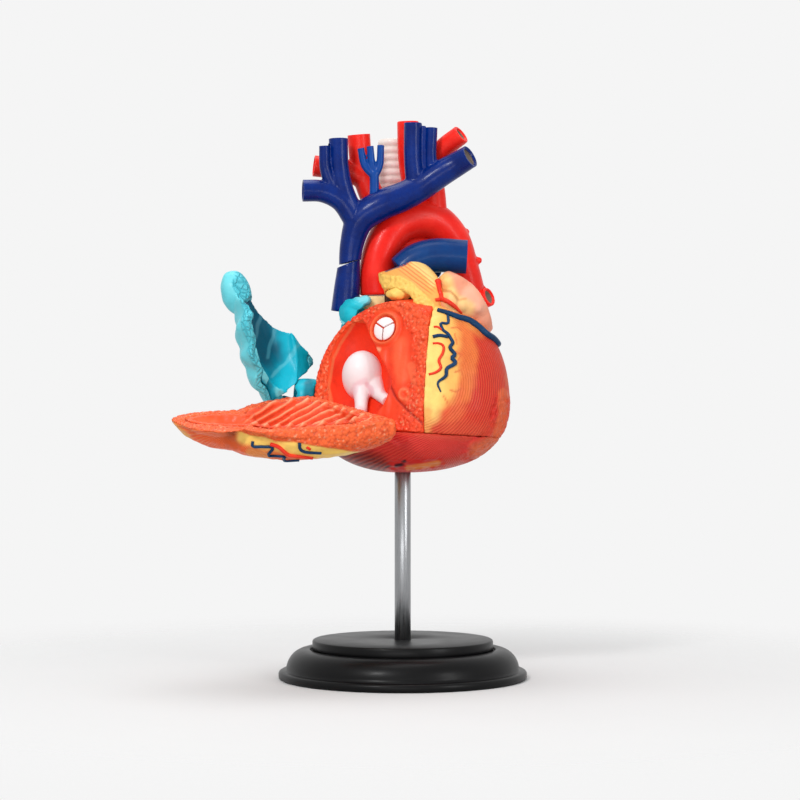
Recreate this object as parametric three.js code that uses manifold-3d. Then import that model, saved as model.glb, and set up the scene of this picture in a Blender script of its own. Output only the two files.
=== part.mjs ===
// A take-apart anatomy model of the human heart on a rod and a round base.
// Millimetres, +Z up, the viewer looks along +Y. The origin is on the floor under the rod.
// The ventricles are one ovoid that flat planes cut into a lower shell, a left wall and a
// front section. Two walls hang on hinge pins and stand open at rest, as on the display model.
import * as THREE from 'three';
import * as BufferGeometryUtils from 'three/addons/utils/BufferGeometryUtils.js';
import Module from 'manifold-3d';

const wasm = await Module();
wasm.setup();

// Clearance between pieces that touch, and the far side of a cut that goes right through
const GAP = 0.3;
const FAR = 400;

// Stand: a moulded shell with a raised disc, and a plain steel rod
const BASE_RADIUS = 46;
const BASE_RIM_HEIGHT = 3;
const SHOULDER_RADIUS = 43.2;
const SHOULDER_TOP_RADIUS = 36;
const SHOULDER_TOP = 11;
const BASE_WALL = 2.2;
const BASE_EDGE = 0.7;
const BASE_RIB_FOOT = 1;
const BASE_RIBS = 6;
const BASE_RIB_THICKNESS = 1.6;
const DISC_RADIUS = 33.5;
const DISC_TOP = 14.4;
const DISC_POCKET = 1;
const DISC_GROOVE = 0.7;
const DISC_EDGE = 0.5;
const ROD_RADIUS = 3;
const ROD_FOOT = 3;
const ROD_CHAMFER = 0.6;
const ROD_BOSS_RADIUS = 6.5;
const ROD_TOP = 88.6;

// Ventricles: a squared-off ovoid, leaning back at the top
const HEART_CENTRE = new THREE.Vector3(4.3, -5, 102);
const HEART_RIGHT = 35.2;
const HEART_LEFT = 37.6;
const HEART_BACK = 29;
const HEART_FRONT = 21;
const HEART_TOP = 38.6;
const HEART_BOTTOM = 25.2;
const HEART_SQUARENESS = 2.33;
const HEART_LEAN = -10.5;
const HEART_ROLL = -3;

// Conus: the outflow hump above the front section, one long ellipsoid
const CONUS_CENTRE = new THREE.Vector3(2.5, 2.5, 143);
const CONUS_AXIS = new THREE.Vector3(-0.563, 0.549, 0.62);
const CONUS_HALF_LENGTH = 19;
const CONUS_HALF_WIDTH = 12;
const CONUS_WALL = 4.2;

// The front wall swells out of the ovoid over two more ellipsoids: one bridges to the conus,
// the other is its belly
const BRIDGE_CENTRE = new THREE.Vector3(-5.2, -0.9, 136.1);
const BRIDGE_AXIS = new THREE.Vector3(-0.183, 0.449, 0.875);
const BRIDGE_HALVES = [24, 14.4, 13.3];
const BELLY_CENTRE = new THREE.Vector3(-7.8, -17, 111.4);
const BELLY_AXIS = new THREE.Vector3(-0.024, 0.27, 0.963);
const BELLY_HALVES = [34, 9.9, 16.9];

// Planes that part the ventricles, each a normal and a point on it
const SECTION_NORMAL = new THREE.Vector3(-0.508, -0.814, 0.267);
const SECTION_POINT = new THREE.Vector3(10, -30, 88);
const GROOVE_NORMAL = new THREE.Vector3(-0.98, 0.2, 0.008);
const GROOVE_POINT = new THREE.Vector3(7.2, -27.2, 91);
const SEAM_NORMAL = new THREE.Vector3(-0.06, 0, -1);
const SEAM_POINT = new THREE.Vector3(0.4, -25, 91.4);
const SEPTUM_NORMAL = new THREE.Vector3(-0.774, 0.302, -0.55);
const SEPTUM_POINT = new THREE.Vector3(-12.6, -2.4, 129.1);
const SECTION_SLAB = 11;

// Right ventricle: the hollow in the section, its valves and the hinged front wall
const RECESS_CENTRE = new THREE.Vector3(-16, -5.7, 113.4);
const RECESS_HALF_LENGTH = 20;
const RECESS_HALF_WIDTH = 14;
const RECESS_DEPTH = 9;
const RECESS_AXIS = new THREE.Vector3(-0.03, 0.33, 0.94);
const VENTRICLE_WALL = 4;
const VENTRICLE_LINING = 1.8;
const VENTRICLE_HINGE_AXIS = new THREE.Vector3(0.627, -0.701, -0.34);
const VENTRICLE_HINGE_POINT = new THREE.Vector3(-17.7, -16.3, 95.6);
const VENTRICLE_OPEN = 121;
const MARGIN_ABOVE = 40;
const MARGIN_BELOW = 165;
const PULMONARY_SEAT = new THREE.Vector3(-6.3, -6.1, 129.8);
const PULMONARY_RING_RADIUS = 5.6;
const PULMONARY_RING_HEIGHT = 1.2;
const RING_CLEARANCE = 0.9;
const CUSP_RADIUS = 3.6;
const CUSP_HEIGHT = 0.9;
const CUSP_NAMES = ['pulmonary_cusp_front', 'pulmonary_cusp_right', 'pulmonary_cusp_left'];
const CUSP_SLOT = 0.5;
const TRICUSPID_CENTRE = new THREE.Vector3(-14.9, 1.6, 112);
const TRICUSPID_HALVES = [7.7, 6, 9.5];
const TRICUSPID_LEGS = [
  [[-15.5, 1, 109, 5], [-15.3, -3.2, 103.4, 2.7], [-15.4, -6.4, 98, 2.3]],
  [[-11, 0.5, 109, 4.6], [-8.4, -4.6, 105, 2.5], [-5.6, -9.4, 102.6, 2.1]],
];

// Right atrium: the fixed part, its floor, and the hinged side wall in a frame of its own
const ATRIUM_WALL_CORNER = new THREE.Vector3(-35, -0.8, 103);
const ATRIUM_WALL_UP = new THREE.Vector3(0.321, 0.371, 0.871);
const ATRIUM_WALL_OUT = new THREE.Vector3(-0.942, 0.034, 0.333);
const ATRIUM_WALL_MIDDLE = [20, 8];
const ATRIUM_WALL_HALF_LENGTH = 29;
const ATRIUM_WALL_HALF_WIDTH = 20;
const ATRIUM_WALL_BULGE = 12;
const ATRIUM_WALL_THICKNESS = 3.4;
const ATRIUM_LINING = 1.6;
// The round lobe at the wall's top, in the wall's frame
const ATRIUM_TOP_LOBE = [43, 1, 9.5];
const ATRIUM_TOP_HALVES = [8.5, 6, 5.5];
const ATRIUM_LOBES = 11;
const ATRIUM_LOBE_DEPTH = 0.035;
const ATRIUM_HINGE_AXIS = new THREE.Vector3(0.3225, -0.7795, -0.537);
const ATRIUM_HINGE_POINT = new THREE.Vector3(-45.4, 8.35, 100.3);
const ATRIUM_OPEN = 52;
const ATRIUM_CENTRE = new THREE.Vector3(-18.5, 17, 121);
const ATRIUM_HALVES = [13.5, 15, 21];
const ATRIUM_ROOM_DEPTH = 12;
const ATRIUM_FAR_NORMAL = [0.68, 0.73];
const ATRIUM_FAR_POINT = [12, 28.3];
const ATRIUM_FOOT_NORMAL = [-0.92, 0.39];
const ATRIUM_FLOOR_CENTRE = new THREE.Vector3(-36, 10, 102);
const ATRIUM_FLOOR_HALVES = [9.5, 10, 9.5];
const FLOOR_CLEARANCE = 1.6;

// Hinge pins
const PIN_RADIUS = 1;
const PIN_LENGTH = 12;
const PIN_MIDDLE = -5;
const KNUCKLE_RADIUS = 2.4;
// Barrels as stretches of a hinge line, measured from its point
const BODY_BARREL_LOW = [-11.5, -8.3];
const WALL_BARREL = [-8, -2];
const BODY_BARREL_HIGH = [-1.7, 1.5];
// Radius and place along the line of the wall's left end, a little outside it
const SWING_ROOM = [[0, -25.6], [8, -29.6], [26, -32.4]];
const SWING_END = -12;
const SWING_CLEARANCE = 2.6;
// The arm from the side wall to its barrel ends here, in the wall's own frame
const ATRIUM_ARM_END = [4.7, 4.2, 7];
const ATRIUM_ARM_RADIUS = 2.2;
const ATRIUM_ARM_ROOM = 8.5;
const ATRIUM_SLOT = 6.6;
const ATRIUM_BARREL_LOW = [-6.5, -3.3];
const ATRIUM_WALL_BARREL = [-3, 3];
const ATRIUM_BARREL_HIGH = [3.3, 6.5];

// Fineness of round forms: subdivisions of a ball, sides of a tube and millimetres a step
const BALL_DETAIL = 5;
const SMALL_BALL_DETAIL = 2;
const TUBE_SIDES = 12;
const SMALL_TUBE_SIDES = 7;
const TUBE_STEP = 5.6;
const TURNED_SIDES = 32;

const COLOURS = {
  black: [0x111213, 0.42, 0],
  steel: [0xb4b6b8, 0.32, 1],
  muscle: [0xe04a22, 0.5, 0],
  darkMuscle: [0xa82c1c, 0.5, 0],
  fat: [0xf2b24a, 0.5, 0],
  artery: [0xe8251a, 0.3, 0],
  vein: [0x14266e, 0.3, 0],
  atrium: [0x35b4cb, 0.45, 0],
  auricle: [0xef9a72, 0.45, 0],
  valve: [0xf3eeee, 0.4, 0],
  cartilage: [0xeae7e4, 0.45, 0],
};

const WORLD = [
  new THREE.Vector3(1, 0, 0),
  new THREE.Vector3(0, 1, 0),
  new THREE.Vector3(0, 0, 1),
];

// Solids

// Turn a geometry into a solid: only positions count, and shared vertices are merged
function solid(geometry) {
  const bare = geometry.clone();
  for (const name of Object.keys(bare.attributes)) {
    if (name !== 'position') bare.deleteAttribute(name);
  }
  const merged = BufferGeometryUtils.mergeVertices(bare, 1e-4);
  const vertProperties = new Float32Array(merged.attributes.position.array);
  const triVerts = new Uint32Array(merged.index.array);
  return new wasm.Manifold(new wasm.Mesh({ numProp: 3, vertProperties, triVerts }));
}

function geometryOf(manifold) {
  const mesh = manifold.getMesh();
  const geometry = new THREE.BufferGeometry();
  geometry.setAttribute('position', new THREE.BufferAttribute(mesh.vertProperties, 3));
  geometry.setIndex(new THREE.BufferAttribute(mesh.triVerts, 1));
  return geometry;
}

// A ball whose radius is a function of direction, so any star-shaped form is one closed skin
function ballForm(centre, radiusAlong, detail = BALL_DETAIL) {
  const geometry = new THREE.IcosahedronGeometry(1, detail);
  const place = geometry.attributes.position;
  const direction = new THREE.Vector3();
  for (let i = 0; i < place.count; i += 1) {
    direction.fromBufferAttribute(place, i).normalize();
    const radius = radiusAlong(direction);
    place.setXYZ(
      i,
      centre.x + direction.x * radius,
      centre.y + direction.y * radius,
      centre.z + direction.z * radius,
    );
  }
  return solid(geometry);
}

// Radius of an ellipsoid with its own axes, wanted along a direction from its middle
function ellipsoidRadius(direction, axes, halves) {
  const [a, b, c] = axes.map((axis, i) => direction.dot(axis) / halves[i]);
  return 1 / Math.sqrt(a * a + b * b + c * c);
}

function ellipsoid(centre, axes, halves, grow = 0, detail = SMALL_BALL_DETAIL) {
  const grown = halves.map((half) => half + grow);
  return ballForm(centre, (direction) => ellipsoidRadius(direction, axes, grown), detail);
}

// Three square axes with the first along a given direction and the second near another
function axesAlong(first, near) {
  const x = first.clone().normalize();
  const z = x.clone().cross(near).normalize();
  return [x, z.clone().cross(x), z];
}

// Everything on the side of a plane that its normal points to, starting at a distance from it
function beyond(normal, point, distance = 0) {
  const box = new THREE.BoxGeometry(FAR, FAR, FAR);
  box.translate(0, 0, FAR / 2 + distance);
  const up = new THREE.Vector3(0, 0, 1);
  box.applyQuaternion(new THREE.Quaternion().setFromUnitVectors(up, normal.clone().normalize()));
  box.translate(point.x, point.y, point.z);
  return solid(box);
}

function behind(normal, point, distance = 0) {
  return beyond(normal.clone().negate(), point, distance);
}

// A vessel: rings of one number of sides set square to a smooth centre line, with flat ends
function vessel(stops, grow = 0, sides = TUBE_SIDES, step = TUBE_STEP) {
  const points = stops.map(([x, y, z]) => new THREE.Vector3(x, y, z));
  const radii = stops.map((stop) => stop[3]);
  const line = new THREE.CatmullRomCurve3(points, false, 'centripetal');
  const rings = Math.max(2, Math.round(line.getLength() / step));
  const vertices = [];
  const faces = [];
  let side = new THREE.Vector3(0, 1, 0);
  for (let ring = 0; ring <= rings; ring += 1) {
    const t = ring / rings;
    const middle = line.getPoint(t);
    const along = line.getTangent(t);
    if (ring === 0) {
      middle.addScaledVector(along, -grow);
      if (Math.abs(along.y) > 0.9) side.set(1, 0, 0);
    }
    if (ring === rings) middle.addScaledVector(along, grow);
    side.addScaledVector(along, -side.dot(along)).normalize();
    const other = along.clone().cross(side);
    const at = t * (radii.length - 1);
    const lower = Math.min(Math.floor(at), radii.length - 2);
    const radius = THREE.MathUtils.lerp(radii[lower], radii[lower + 1], at - lower) + grow;
    for (let i = 0; i < sides; i += 1) {
      const angle = (2 * Math.PI * i) / sides;
      const vertex = middle.clone().addScaledVector(side, radius * Math.cos(angle));
      vertex.addScaledVector(other, radius * Math.sin(angle));
      vertices.push(vertex.x, vertex.y, vertex.z);
    }
  }
  for (let ring = 0; ring < rings; ring += 1) {
    for (let i = 0; i < sides; i += 1) {
      const a = ring * sides + i;
      const b = ring * sides + ((i + 1) % sides);
      faces.push(a, b, a + sides, b, b + sides, a + sides);
    }
  }
  for (let i = 1; i < sides - 1; i += 1) {
    const last = rings * sides;
    faces.push(0, i + 1, i, last, last + i, last + i + 1);
  }
  const geometry = new THREE.BufferGeometry();
  geometry.setAttribute('position', new THREE.Float32BufferAttribute(vertices, 3));
  geometry.setIndex(faces);
  return solid(geometry);
}

function turned(profile, sides = TURNED_SIDES) {
  const points = profile.map(([radius, height]) => new THREE.Vector2(radius, height));
  const geometry = new THREE.LatheGeometry(points, sides);
  geometry.rotateX(Math.PI / 2);
  return solid(geometry);
}

// A round bar from a point along an axis, its middle at the point
function bar(point, axis, radius, length, sides = 16) {
  const geometry = new THREE.CylinderGeometry(radius, radius, length, sides);
  const up = new THREE.Vector3(0, 1, 0);
  geometry.applyQuaternion(new THREE.Quaternion().setFromUnitVectors(up, axis.clone().normalize()));
  geometry.translate(point.x, point.y, point.z);
  return solid(geometry);
}

function join(pieces) {
  return pieces.reduce((sum, piece) => sum.add(piece));
}

function cut(body, tools) {
  return tools.reduce((rest, tool) => rest.subtract(tool), body);
}

function keep(body, regions) {
  return regions.reduce((rest, region) => rest.intersect(region), body);
}

function along(point, axis, distance) {
  return point.clone().addScaledVector(axis.clone().normalize(), distance);
}

// Forms of the closed heart

const lean = new THREE.Matrix4().makeRotationX(THREE.MathUtils.degToRad(HEART_LEAN));
lean.multiply(new THREE.Matrix4().makeRotationY(THREE.MathUtils.degToRad(HEART_ROLL)));
const unlean = lean.clone().invert();

function ventricleRadius(direction) {
  const d = direction.clone().applyMatrix4(unlean);
  const x = Math.abs(d.x) / (d.x > 0 ? HEART_RIGHT : HEART_LEFT);
  const y = Math.abs(d.y) / (d.y > 0 ? HEART_BACK : HEART_FRONT);
  const z = Math.abs(d.z) / (d.z > 0 ? HEART_TOP : HEART_BOTTOM);
  const p = HEART_SQUARENESS;
  return (x ** p + y ** p + z ** p) ** (-1 / p);
}

function ventricles(grow = 0) {
  return ballForm(HEART_CENTRE, (direction) => ventricleRadius(direction) + grow);
}

const conusAxes = axesAlong(CONUS_AXIS, SECTION_NORMAL);

function conus(grow = 0) {
  const halves = [CONUS_HALF_LENGTH, CONUS_HALF_WIDTH, CONUS_HALF_WIDTH];
  return ellipsoid(CONUS_CENTRE, conusAxes, halves, grow, SMALL_BALL_DETAIL + 1);
}

// Planes by name, so that each cut says what it parts
const section = { normal: SECTION_NORMAL, point: SECTION_POINT };
const groove = { normal: GROOVE_NORMAL, point: GROOVE_POINT };
const seam = { normal: SEAM_NORMAL, point: SEAM_POINT };
const septumPlane = { normal: SEPTUM_NORMAL, point: SEPTUM_POINT };

function outOf(plane, distance = GAP / 2) {
  return beyond(plane.normal, plane.point, distance);
}

function inside(plane, distance = GAP / 2) {
  return behind(plane.normal, plane.point, distance);
}

// The side wall of the right atrium lies in a frame of its own: up, across and out
const wallUp = ATRIUM_WALL_UP.clone().normalize();
const wallOut = ATRIUM_WALL_OUT.clone().addScaledVector(wallUp, -ATRIUM_WALL_OUT.dot(wallUp));
wallOut.normalize();
const wallAcross = wallOut.clone().cross(wallUp);
const wallMiddle = ATRIUM_WALL_CORNER.clone();
wallMiddle.addScaledVector(wallUp, ATRIUM_WALL_MIDDLE[0]);
wallMiddle.addScaledVector(wallAcross, ATRIUM_WALL_MIDDLE[1]);
const wallPlane = { normal: wallOut, point: ATRIUM_WALL_CORNER };

function atriumSide(grow = 0) {
  const axes = [wallUp, wallAcross, wallOut];
  const halves = [ATRIUM_WALL_HALF_LENGTH, ATRIUM_WALL_HALF_WIDTH, ATRIUM_WALL_BULGE];
  return ballForm(wallMiddle, (direction) => {
    const angle = Math.atan2(direction.dot(wallAcross), direction.dot(wallUp));
    const lobes = 1 + ATRIUM_LOBE_DEPTH * Math.cos(ATRIUM_LOBES * angle);
    return ellipsoidRadius(direction, axes, halves) * lobes + grow;
  });
}

// Vessels: each centre line is a short list of stops, x, y, z and radius

const AORTA = [
  [-9.8, 15, 142.8, 6.2],
  [-9.8, 15, 152, 6.2],
  [-7.2, 16, 162.4, 6.6],
  [-2, 18, 169.4, 7.1],
  [5, 20.5, 172.3, 7.3],
  [12, 23, 171.3, 7.2],
  [18.6, 26, 165, 6.9],
  [22.4, 28.5, 155, 6.6],
  [25.4, 30, 143, 6.5],
  [26, 30, 129, 6.3],
];
const PULMONARY_TRUNK = [
  [-0.5, 6.4, 151, 6],
  [5, 6.8, 155.2, 6.2],
  [12, 7, 157.2, 6.2],
  [24, 7, 156.7, 6.1],
];
const RIGHT_PULMONARY_ARTERY = [
  [11, 12, 153.4, 4.6],
  [6, 20, 152, 4.6],
  [-2, 25, 151.4, 4.5],
  [-12, 26, 150.8, 4.4],
  [-23, 25, 149.6, 4.2],
];
const CAVA_SEAM_POINT = new THREE.Vector3(-16, 10.4, 155.8);
const CAVA_SEAM_NORMAL = new THREE.Vector3(-0.22, 0, 0.975);
const CAVA_LOWER_NORMAL = new THREE.Vector3(-0.33, 0, 1);
const CAVA_PEG_RADIUS = 1.3;
const CAVA_PEG = [-18.6, 10.4, 155];
const CAVA_PEG_LENGTH = 9;
const CAVA_LOWER = [
  [-19.8, 10.2, 160, 4],
  [-20.4, 10.6, 152, 4.3],
  [-20.9, 11.2, 146, 4.8],
  [-21.2, 12, 140, 5],
];
const GREAT_VEIN = [
  [-20.2, 10.2, 150, 3.6],
  [-19, 9.8, 162, 4.3],
  [-15.7, 9, 171, 5.2],
  [-8.5, 8.6, 176, 5.5],
  [-0.3, 9.4, 179.4, 5.3],
  [6.4, 10, 182.9, 5],
  [13.9, 9.6, 187.9, 4.8],
  [20.6, 8.6, 192.1, 4.4],
  [26, 6, 194.9, 4.1],
];
const RIGHT_JUGULAR = [
  [-24.1, 8, 201, 3.4],
  [-23.8, 8, 191, 3.4],
  [-22.4, 8, 182, 3.8],
  [-17.6, 8.8, 170, 4.2],
];
const RIGHT_OUTER_JUGULAR = [
  [-28.9, 6, 198, 1.7],
  [-28.5, 6, 189, 1.9],
  [-24.5, 7.4, 179, 2.4],
];
const RIGHT_SUBCLAVIAN_VEIN = [
  [-37.3, 6, 181.4, 3.9],
  [-30, 7, 181.2, 3.9],
  [-23, 7.8, 178, 4.1],
  [-17.4, 8.8, 170, 4.2],
];
const LEFT_JUGULAR = [
  [3.8, 8.8, 207, 3.1],
  [3.8, 9, 194, 3.1],
  [5, 9.6, 182, 3.5],
];
const LEFT_OUTER_JUGULAR = [
  [10.9, 9.4, 205.3, 2],
  [10.5, 9.4, 194, 2],
  [11.2, 9.4, 185, 2.2],
];
const LEFT_THIN_VEIN = [
  [7.6, 9.2, 205.5, 0.7],
  [7.8, 9.2, 194, 0.8],
  [8.2, 9.4, 184, 1],
];
const THYROID_STEM = [
  [-10.6, 8.2, 177, 1.6],
  [-10.6, 8, 188.6, 1.5],
];
const THYROID_BRANCHES = [
  [[-10.6, 8, 187, 1.3], [-14.2, 8, 191, 1.2], [-15.7, 8, 197.4, 1.1]],
  [[-10.6, 8, 187, 1.3], [-11.6, 8, 192, 1.2], [-12.2, 8, 198.2, 1.1]],
  [[-10.6, 8, 187, 1.3], [-8.7, 8, 191, 1.2], [-8.2, 8, 198.6, 1.1]],
];
const BRACHIOCEPHALIC = [
  [-4.6, 18, 166, 4.6],
  [-7.6, 18, 174, 4.8],
  [-12.2, 17.6, 182, 4.5],
  [-15.6, 17, 192.5, 4.1],
  [-16.6, 16, 203.6, 4.1],
];
const RIGHT_SUBCLAVIAN = [
  [-14.5, 17, 187, 3.8],
  [-22, 15.6, 190.2, 3.8],
  [-33.5, 14, 191.6, 3.8],
];
const LEFT_CAROTID = [
  [5, 20, 168, 4.2],
  [4.4, 19.4, 182, 4.2],
  [2.4, 18, 194.5, 4.1],
  [2, 17, 208.8, 4.1],
];
const LEFT_SUBCLAVIAN = [
  [13.4, 23.4, 167, 4.2],
  [12.6, 21.6, 180, 4.1],
  [14.6, 19.4, 191, 3.9],
  [22.2, 12.5, 203.4, 3.7],
];
const CAVA_INFERIOR = [
  [-19, 21, 108, 5.4],
  [-20, 24, 98, 5.2],
  [-20.5, 25, 86, 5],
];
const ATRIUM_LEFT_CENTRE = new THREE.Vector3(7, 21, 128);
const ATRIUM_LEFT_HALVES = [19, 12.5, 13.5];
// Lobes of the two auricles, each a middle and three half sizes
const AURICLE_LOBES = [
  [24, 2, 138.5, 10.5, 12, 9],
  [19, 1, 145, 6.5, 9, 6.5],
  [28, 3, 134, 7, 10, 7.5],
  [18.5, -2, 138, 7, 9, 7.5],
];
const RIGHT_AURICLE_LOBES = [
  [-22, 4.6, 138.8, 3.6, 4.2, 4.2],
  [-18, 4.4, 140.4, 3.4, 4, 3.6],
  [-14.4, 4.4, 141, 2.6, 3.6, 2.6],
];
const ROOT_RADIUS = 8;
const ROOT_TOP = 142.2;
const ROOT_HEIGHT = 14.2;
const PAD_CENTRE = new THREE.Vector3(-1.5, 0, 142.6);
const PAD_HALVES = [4.6, 5, 2.6];
const PULMONARY_VEINS = {
  left_upper_pulmonary_vein: [[20, 17, 135, 3.6], [27, 12.6, 139.6, 3.6], [32.6, 8.8, 142, 3.6]],
  left_lower_pulmonary_vein: [[20, 25, 124, 3.6], [28, 27, 121, 3.5], [35, 28, 119.6, 3.5]],
  right_upper_pulmonary_vein: [[-6, 26, 132, 3.5], [-14, 31, 135, 3.4], [-21, 34, 137, 3.4]],
  right_lower_pulmonary_vein: [[-6, 28, 123, 3.5], [-14, 33.5, 122, 3.4], [-20.5, 37, 121.6, 3.4]],
};

// The windpipe: a plain bore-less tube with rings of cartilage, and its two branches
const TRACHEA_TOP = new THREE.Vector3(-7.2, 29.6, 204);
const TRACHEA_LENGTH = 46;
const TRACHEA_RADIUS = 6.1;
const TRACHEA_RING_RADIUS = 6.8;
const TRACHEA_RING_PITCH = 2.85;
// Their stops are measured from the middle of the windpipe's foot
const BRONCHI = [
  [[0, 0.2, 4, 5.2], [-5.8, 1.4, -2, 4.6], [-13.8, 3.4, -8, 4.2]],
  [[0, 0.2, 4, 5.2], [6.2, 3, -1.4, 4.4], [13.7, 5.8, -5.4, 4.2]],
];

function tubes(list, grow = 0, sides = SMALL_TUBE_SIDES) {
  return join(list.map((stops) => vessel(stops, grow, sides)));
}

const aorta = (grow = 0) => vessel(AORTA, grow, TUBE_SIDES + 2);
const pulmonaryArtery = (grow = 0) => join([
  vessel(PULMONARY_TRUNK, grow),
  vessel(RIGHT_PULMONARY_ARTERY, grow, TUBE_SIDES - 2),
]);
const cavaLower = (grow = 0) => vessel(CAVA_LOWER, grow);
const greatVeins = (grow = 0) => join([
  vessel(GREAT_VEIN, grow),
  vessel(RIGHT_JUGULAR, grow, TUBE_SIDES - 2),
  vessel(RIGHT_SUBCLAVIAN_VEIN, grow, TUBE_SIDES - 2),
  vessel(LEFT_JUGULAR, grow, TUBE_SIDES - 2),
  tubes([RIGHT_OUTER_JUGULAR, LEFT_OUTER_JUGULAR, LEFT_THIN_VEIN], grow),
]);
const brachiocephalic = (grow = 0) => join([
  vessel(BRACHIOCEPHALIC, grow, TUBE_SIDES - 2),
  vessel(RIGHT_SUBCLAVIAN, grow, TUBE_SIDES - 2),
]);
const leftCarotid = (grow = 0) => vessel(LEFT_CAROTID, grow, TUBE_SIDES - 2);
const leftSubclavian = (grow = 0) => vessel(LEFT_SUBCLAVIAN, grow, TUBE_SIDES - 2);

function windpipe(grow = 0) {
  const foot = TRACHEA_TOP.z - TRACHEA_LENGTH;
  const profile = [[0, foot - grow]];
  const rings = Math.floor(TRACHEA_LENGTH / TRACHEA_RING_PITCH);
  for (let i = 0; i < rings; i += 1) {
    const low = foot + i * TRACHEA_RING_PITCH;
    profile.push([TRACHEA_RADIUS + grow, i === 0 ? low - grow : low]);
    profile.push([TRACHEA_RING_RADIUS + grow, low + TRACHEA_RING_PITCH * 0.3]);
    profile.push([TRACHEA_RING_RADIUS + grow, low + TRACHEA_RING_PITCH * 0.7]);
  }
  const top = foot + rings * TRACHEA_RING_PITCH + grow;
  profile.push([TRACHEA_RADIUS + grow, top], [0, top]);
  const pipe = turned(profile, 12).translate([TRACHEA_TOP.x, TRACHEA_TOP.y, 0]);
  const fork = tubes(BRONCHI, grow, SMALL_TUBE_SIDES + 2);
  return pipe.add(fork.translate([TRACHEA_TOP.x, TRACHEA_TOP.y, foot]));
}

// The hinge line of the front wall, with the directions up the section and out of it
const hingeAxis = VENTRICLE_HINGE_AXIS.clone().normalize();
const hingeUp = hingeAxis.clone().cross(SECTION_NORMAL).negate().normalize();
const hingeOut = hingeAxis.clone().cross(hingeUp);

// A plane through the hinge line at an angle from the section, as the side it faces
function marginNormal(degrees) {
  const angle = THREE.MathUtils.degToRad(degrees);
  const normal = hingeUp.clone().multiplyScalar(-Math.sin(angle));
  return normal.addScaledVector(hingeOut, Math.cos(angle));
}

const margin = { normal: hingeUp, point: VENTRICLE_HINGE_POINT };
const marginAbove = { normal: marginNormal(MARGIN_ABOVE), point: VENTRICLE_HINGE_POINT };
const marginBelow = { normal: marginNormal(MARGIN_BELOW - 180), point: VENTRICLE_HINGE_POINT };

// Hinge barrels: two on the body, one on the wall, all round one pin
function barrel(point, axis, from, to, grow = 0) {
  const middle = along(point, axis, (from + to) / 2);
  return bar(middle, axis, KNUCKLE_RADIUS + grow, to - from + 2 * grow, 12);
}

function pin(point, axis, grow = 0) {
  return bar(point, axis, PIN_RADIUS + grow, PIN_LENGTH + 2 * grow, 12);
}

// The room the left end of the front wall needs as it swings, out to a radius
function swingRoom(radius) {
  const profile = SWING_ROOM.filter(([r]) => r <= radius);
  const [, last] = profile[profile.length - 1];
  const room = turned([...profile, [radius, last], [radius, SWING_END], [0, SWING_END]], 30);
  const turn = new THREE.Quaternion().setFromUnitVectors(WORLD[2], hingeAxis);
  const place = new THREE.Matrix4().makeRotationFromQuaternion(turn);
  place.setPosition(VENTRICLE_HINGE_POINT);
  return room.transform(place.elements);
}

// Larger forms that share one place, each with its own growth for cutting its neighbours

function sectionSlab(grow = 0) {
  return keep(ventricles(grow), [
    inside(section, GAP / 2 - grow),
    outOf(section, -SECTION_SLAB - grow),
    outOf(groove, GAP / 2 - grow),
    outOf(septumPlane, GAP / 2 - grow),
    inside(seam, GAP / 2 - grow),
  ]);
}

function atriumLeft(grow = 0) {
  return ellipsoid(ATRIUM_LEFT_CENTRE, WORLD, ATRIUM_LEFT_HALVES, grow, SMALL_BALL_DETAIL + 1);
}

function atriumRight(grow = 0) {
  const body = ellipsoid(ATRIUM_CENTRE, WORLD, ATRIUM_HALVES, grow, SMALL_BALL_DETAIL + 1);
  return keep(body.add(atriumSide(grow)), [
    inside(wallPlane, GAP / 2 - grow),
    inside(section, GAP / 2 - grow),
  ]);
}

function atriumFloor(grow = 0) {
  return ellipsoid(ATRIUM_FLOOR_CENTRE, WORLD, ATRIUM_FLOOR_HALVES, grow);
}

function auricleLeft(grow = 0) {
  const lobes = AURICLE_LOBES.map(([x, y, z, a, b, c]) => (
    ellipsoid(new THREE.Vector3(x, y, z), WORLD, [a, b, c], grow)
  ));
  return join(lobes);
}

function auricleRight(grow = 0) {
  const lobes = RIGHT_AURICLE_LOBES.map(([x, y, z, a, b, c]) => (
    ellipsoid(new THREE.Vector3(x, y, z), WORLD, [a, b, c], grow, SMALL_BALL_DETAIL - 1)
  ));
  return join(lobes);
}

function aorticRoot(grow = 0) {
  const middle = new THREE.Vector3(AORTA[0][0], AORTA[0][1], ROOT_TOP - ROOT_HEIGHT / 2);
  return bar(middle, WORLD[2], ROOT_RADIUS + grow, ROOT_HEIGHT + 2 * grow, 24);
}

function fatPad(grow = 0) {
  return ellipsoid(PAD_CENTRE, WORLD, PAD_HALVES, grow, SMALL_BALL_DETAIL - 1);
}

function cavaInferior(grow = 0) {
  return vessel(CAVA_INFERIOR, grow, TUBE_SIDES - 2);
}

function lungVeins(grow = 0) {
  return join(Object.values(PULMONARY_VEINS).map((stops) => vessel(stops, grow, 10)));
}

const cavaSeam = { normal: CAVA_SEAM_NORMAL, point: CAVA_SEAM_POINT };
const cavaLowerSeam = { normal: CAVA_LOWER_NORMAL, point: CAVA_SEAM_POINT };
const cavaPegPoint = new THREE.Vector3(...CAVA_PEG);

function cavaPeg(grow = 0) {
  return bar(cavaPegPoint, WORLD[2], CAVA_PEG_RADIUS + grow, CAVA_PEG_LENGTH + 2 * grow, 12);
}

// Stand

function quarterRound(radius, height, reach, rise, steps) {
  const points = [];
  for (let i = 0; i <= steps; i += 1) {
    const angle = (Math.PI / 2) * (i / steps);
    points.push([radius + reach * Math.cos(angle), height + rise * Math.sin(angle)]);
  }
  return points;
}

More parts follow.
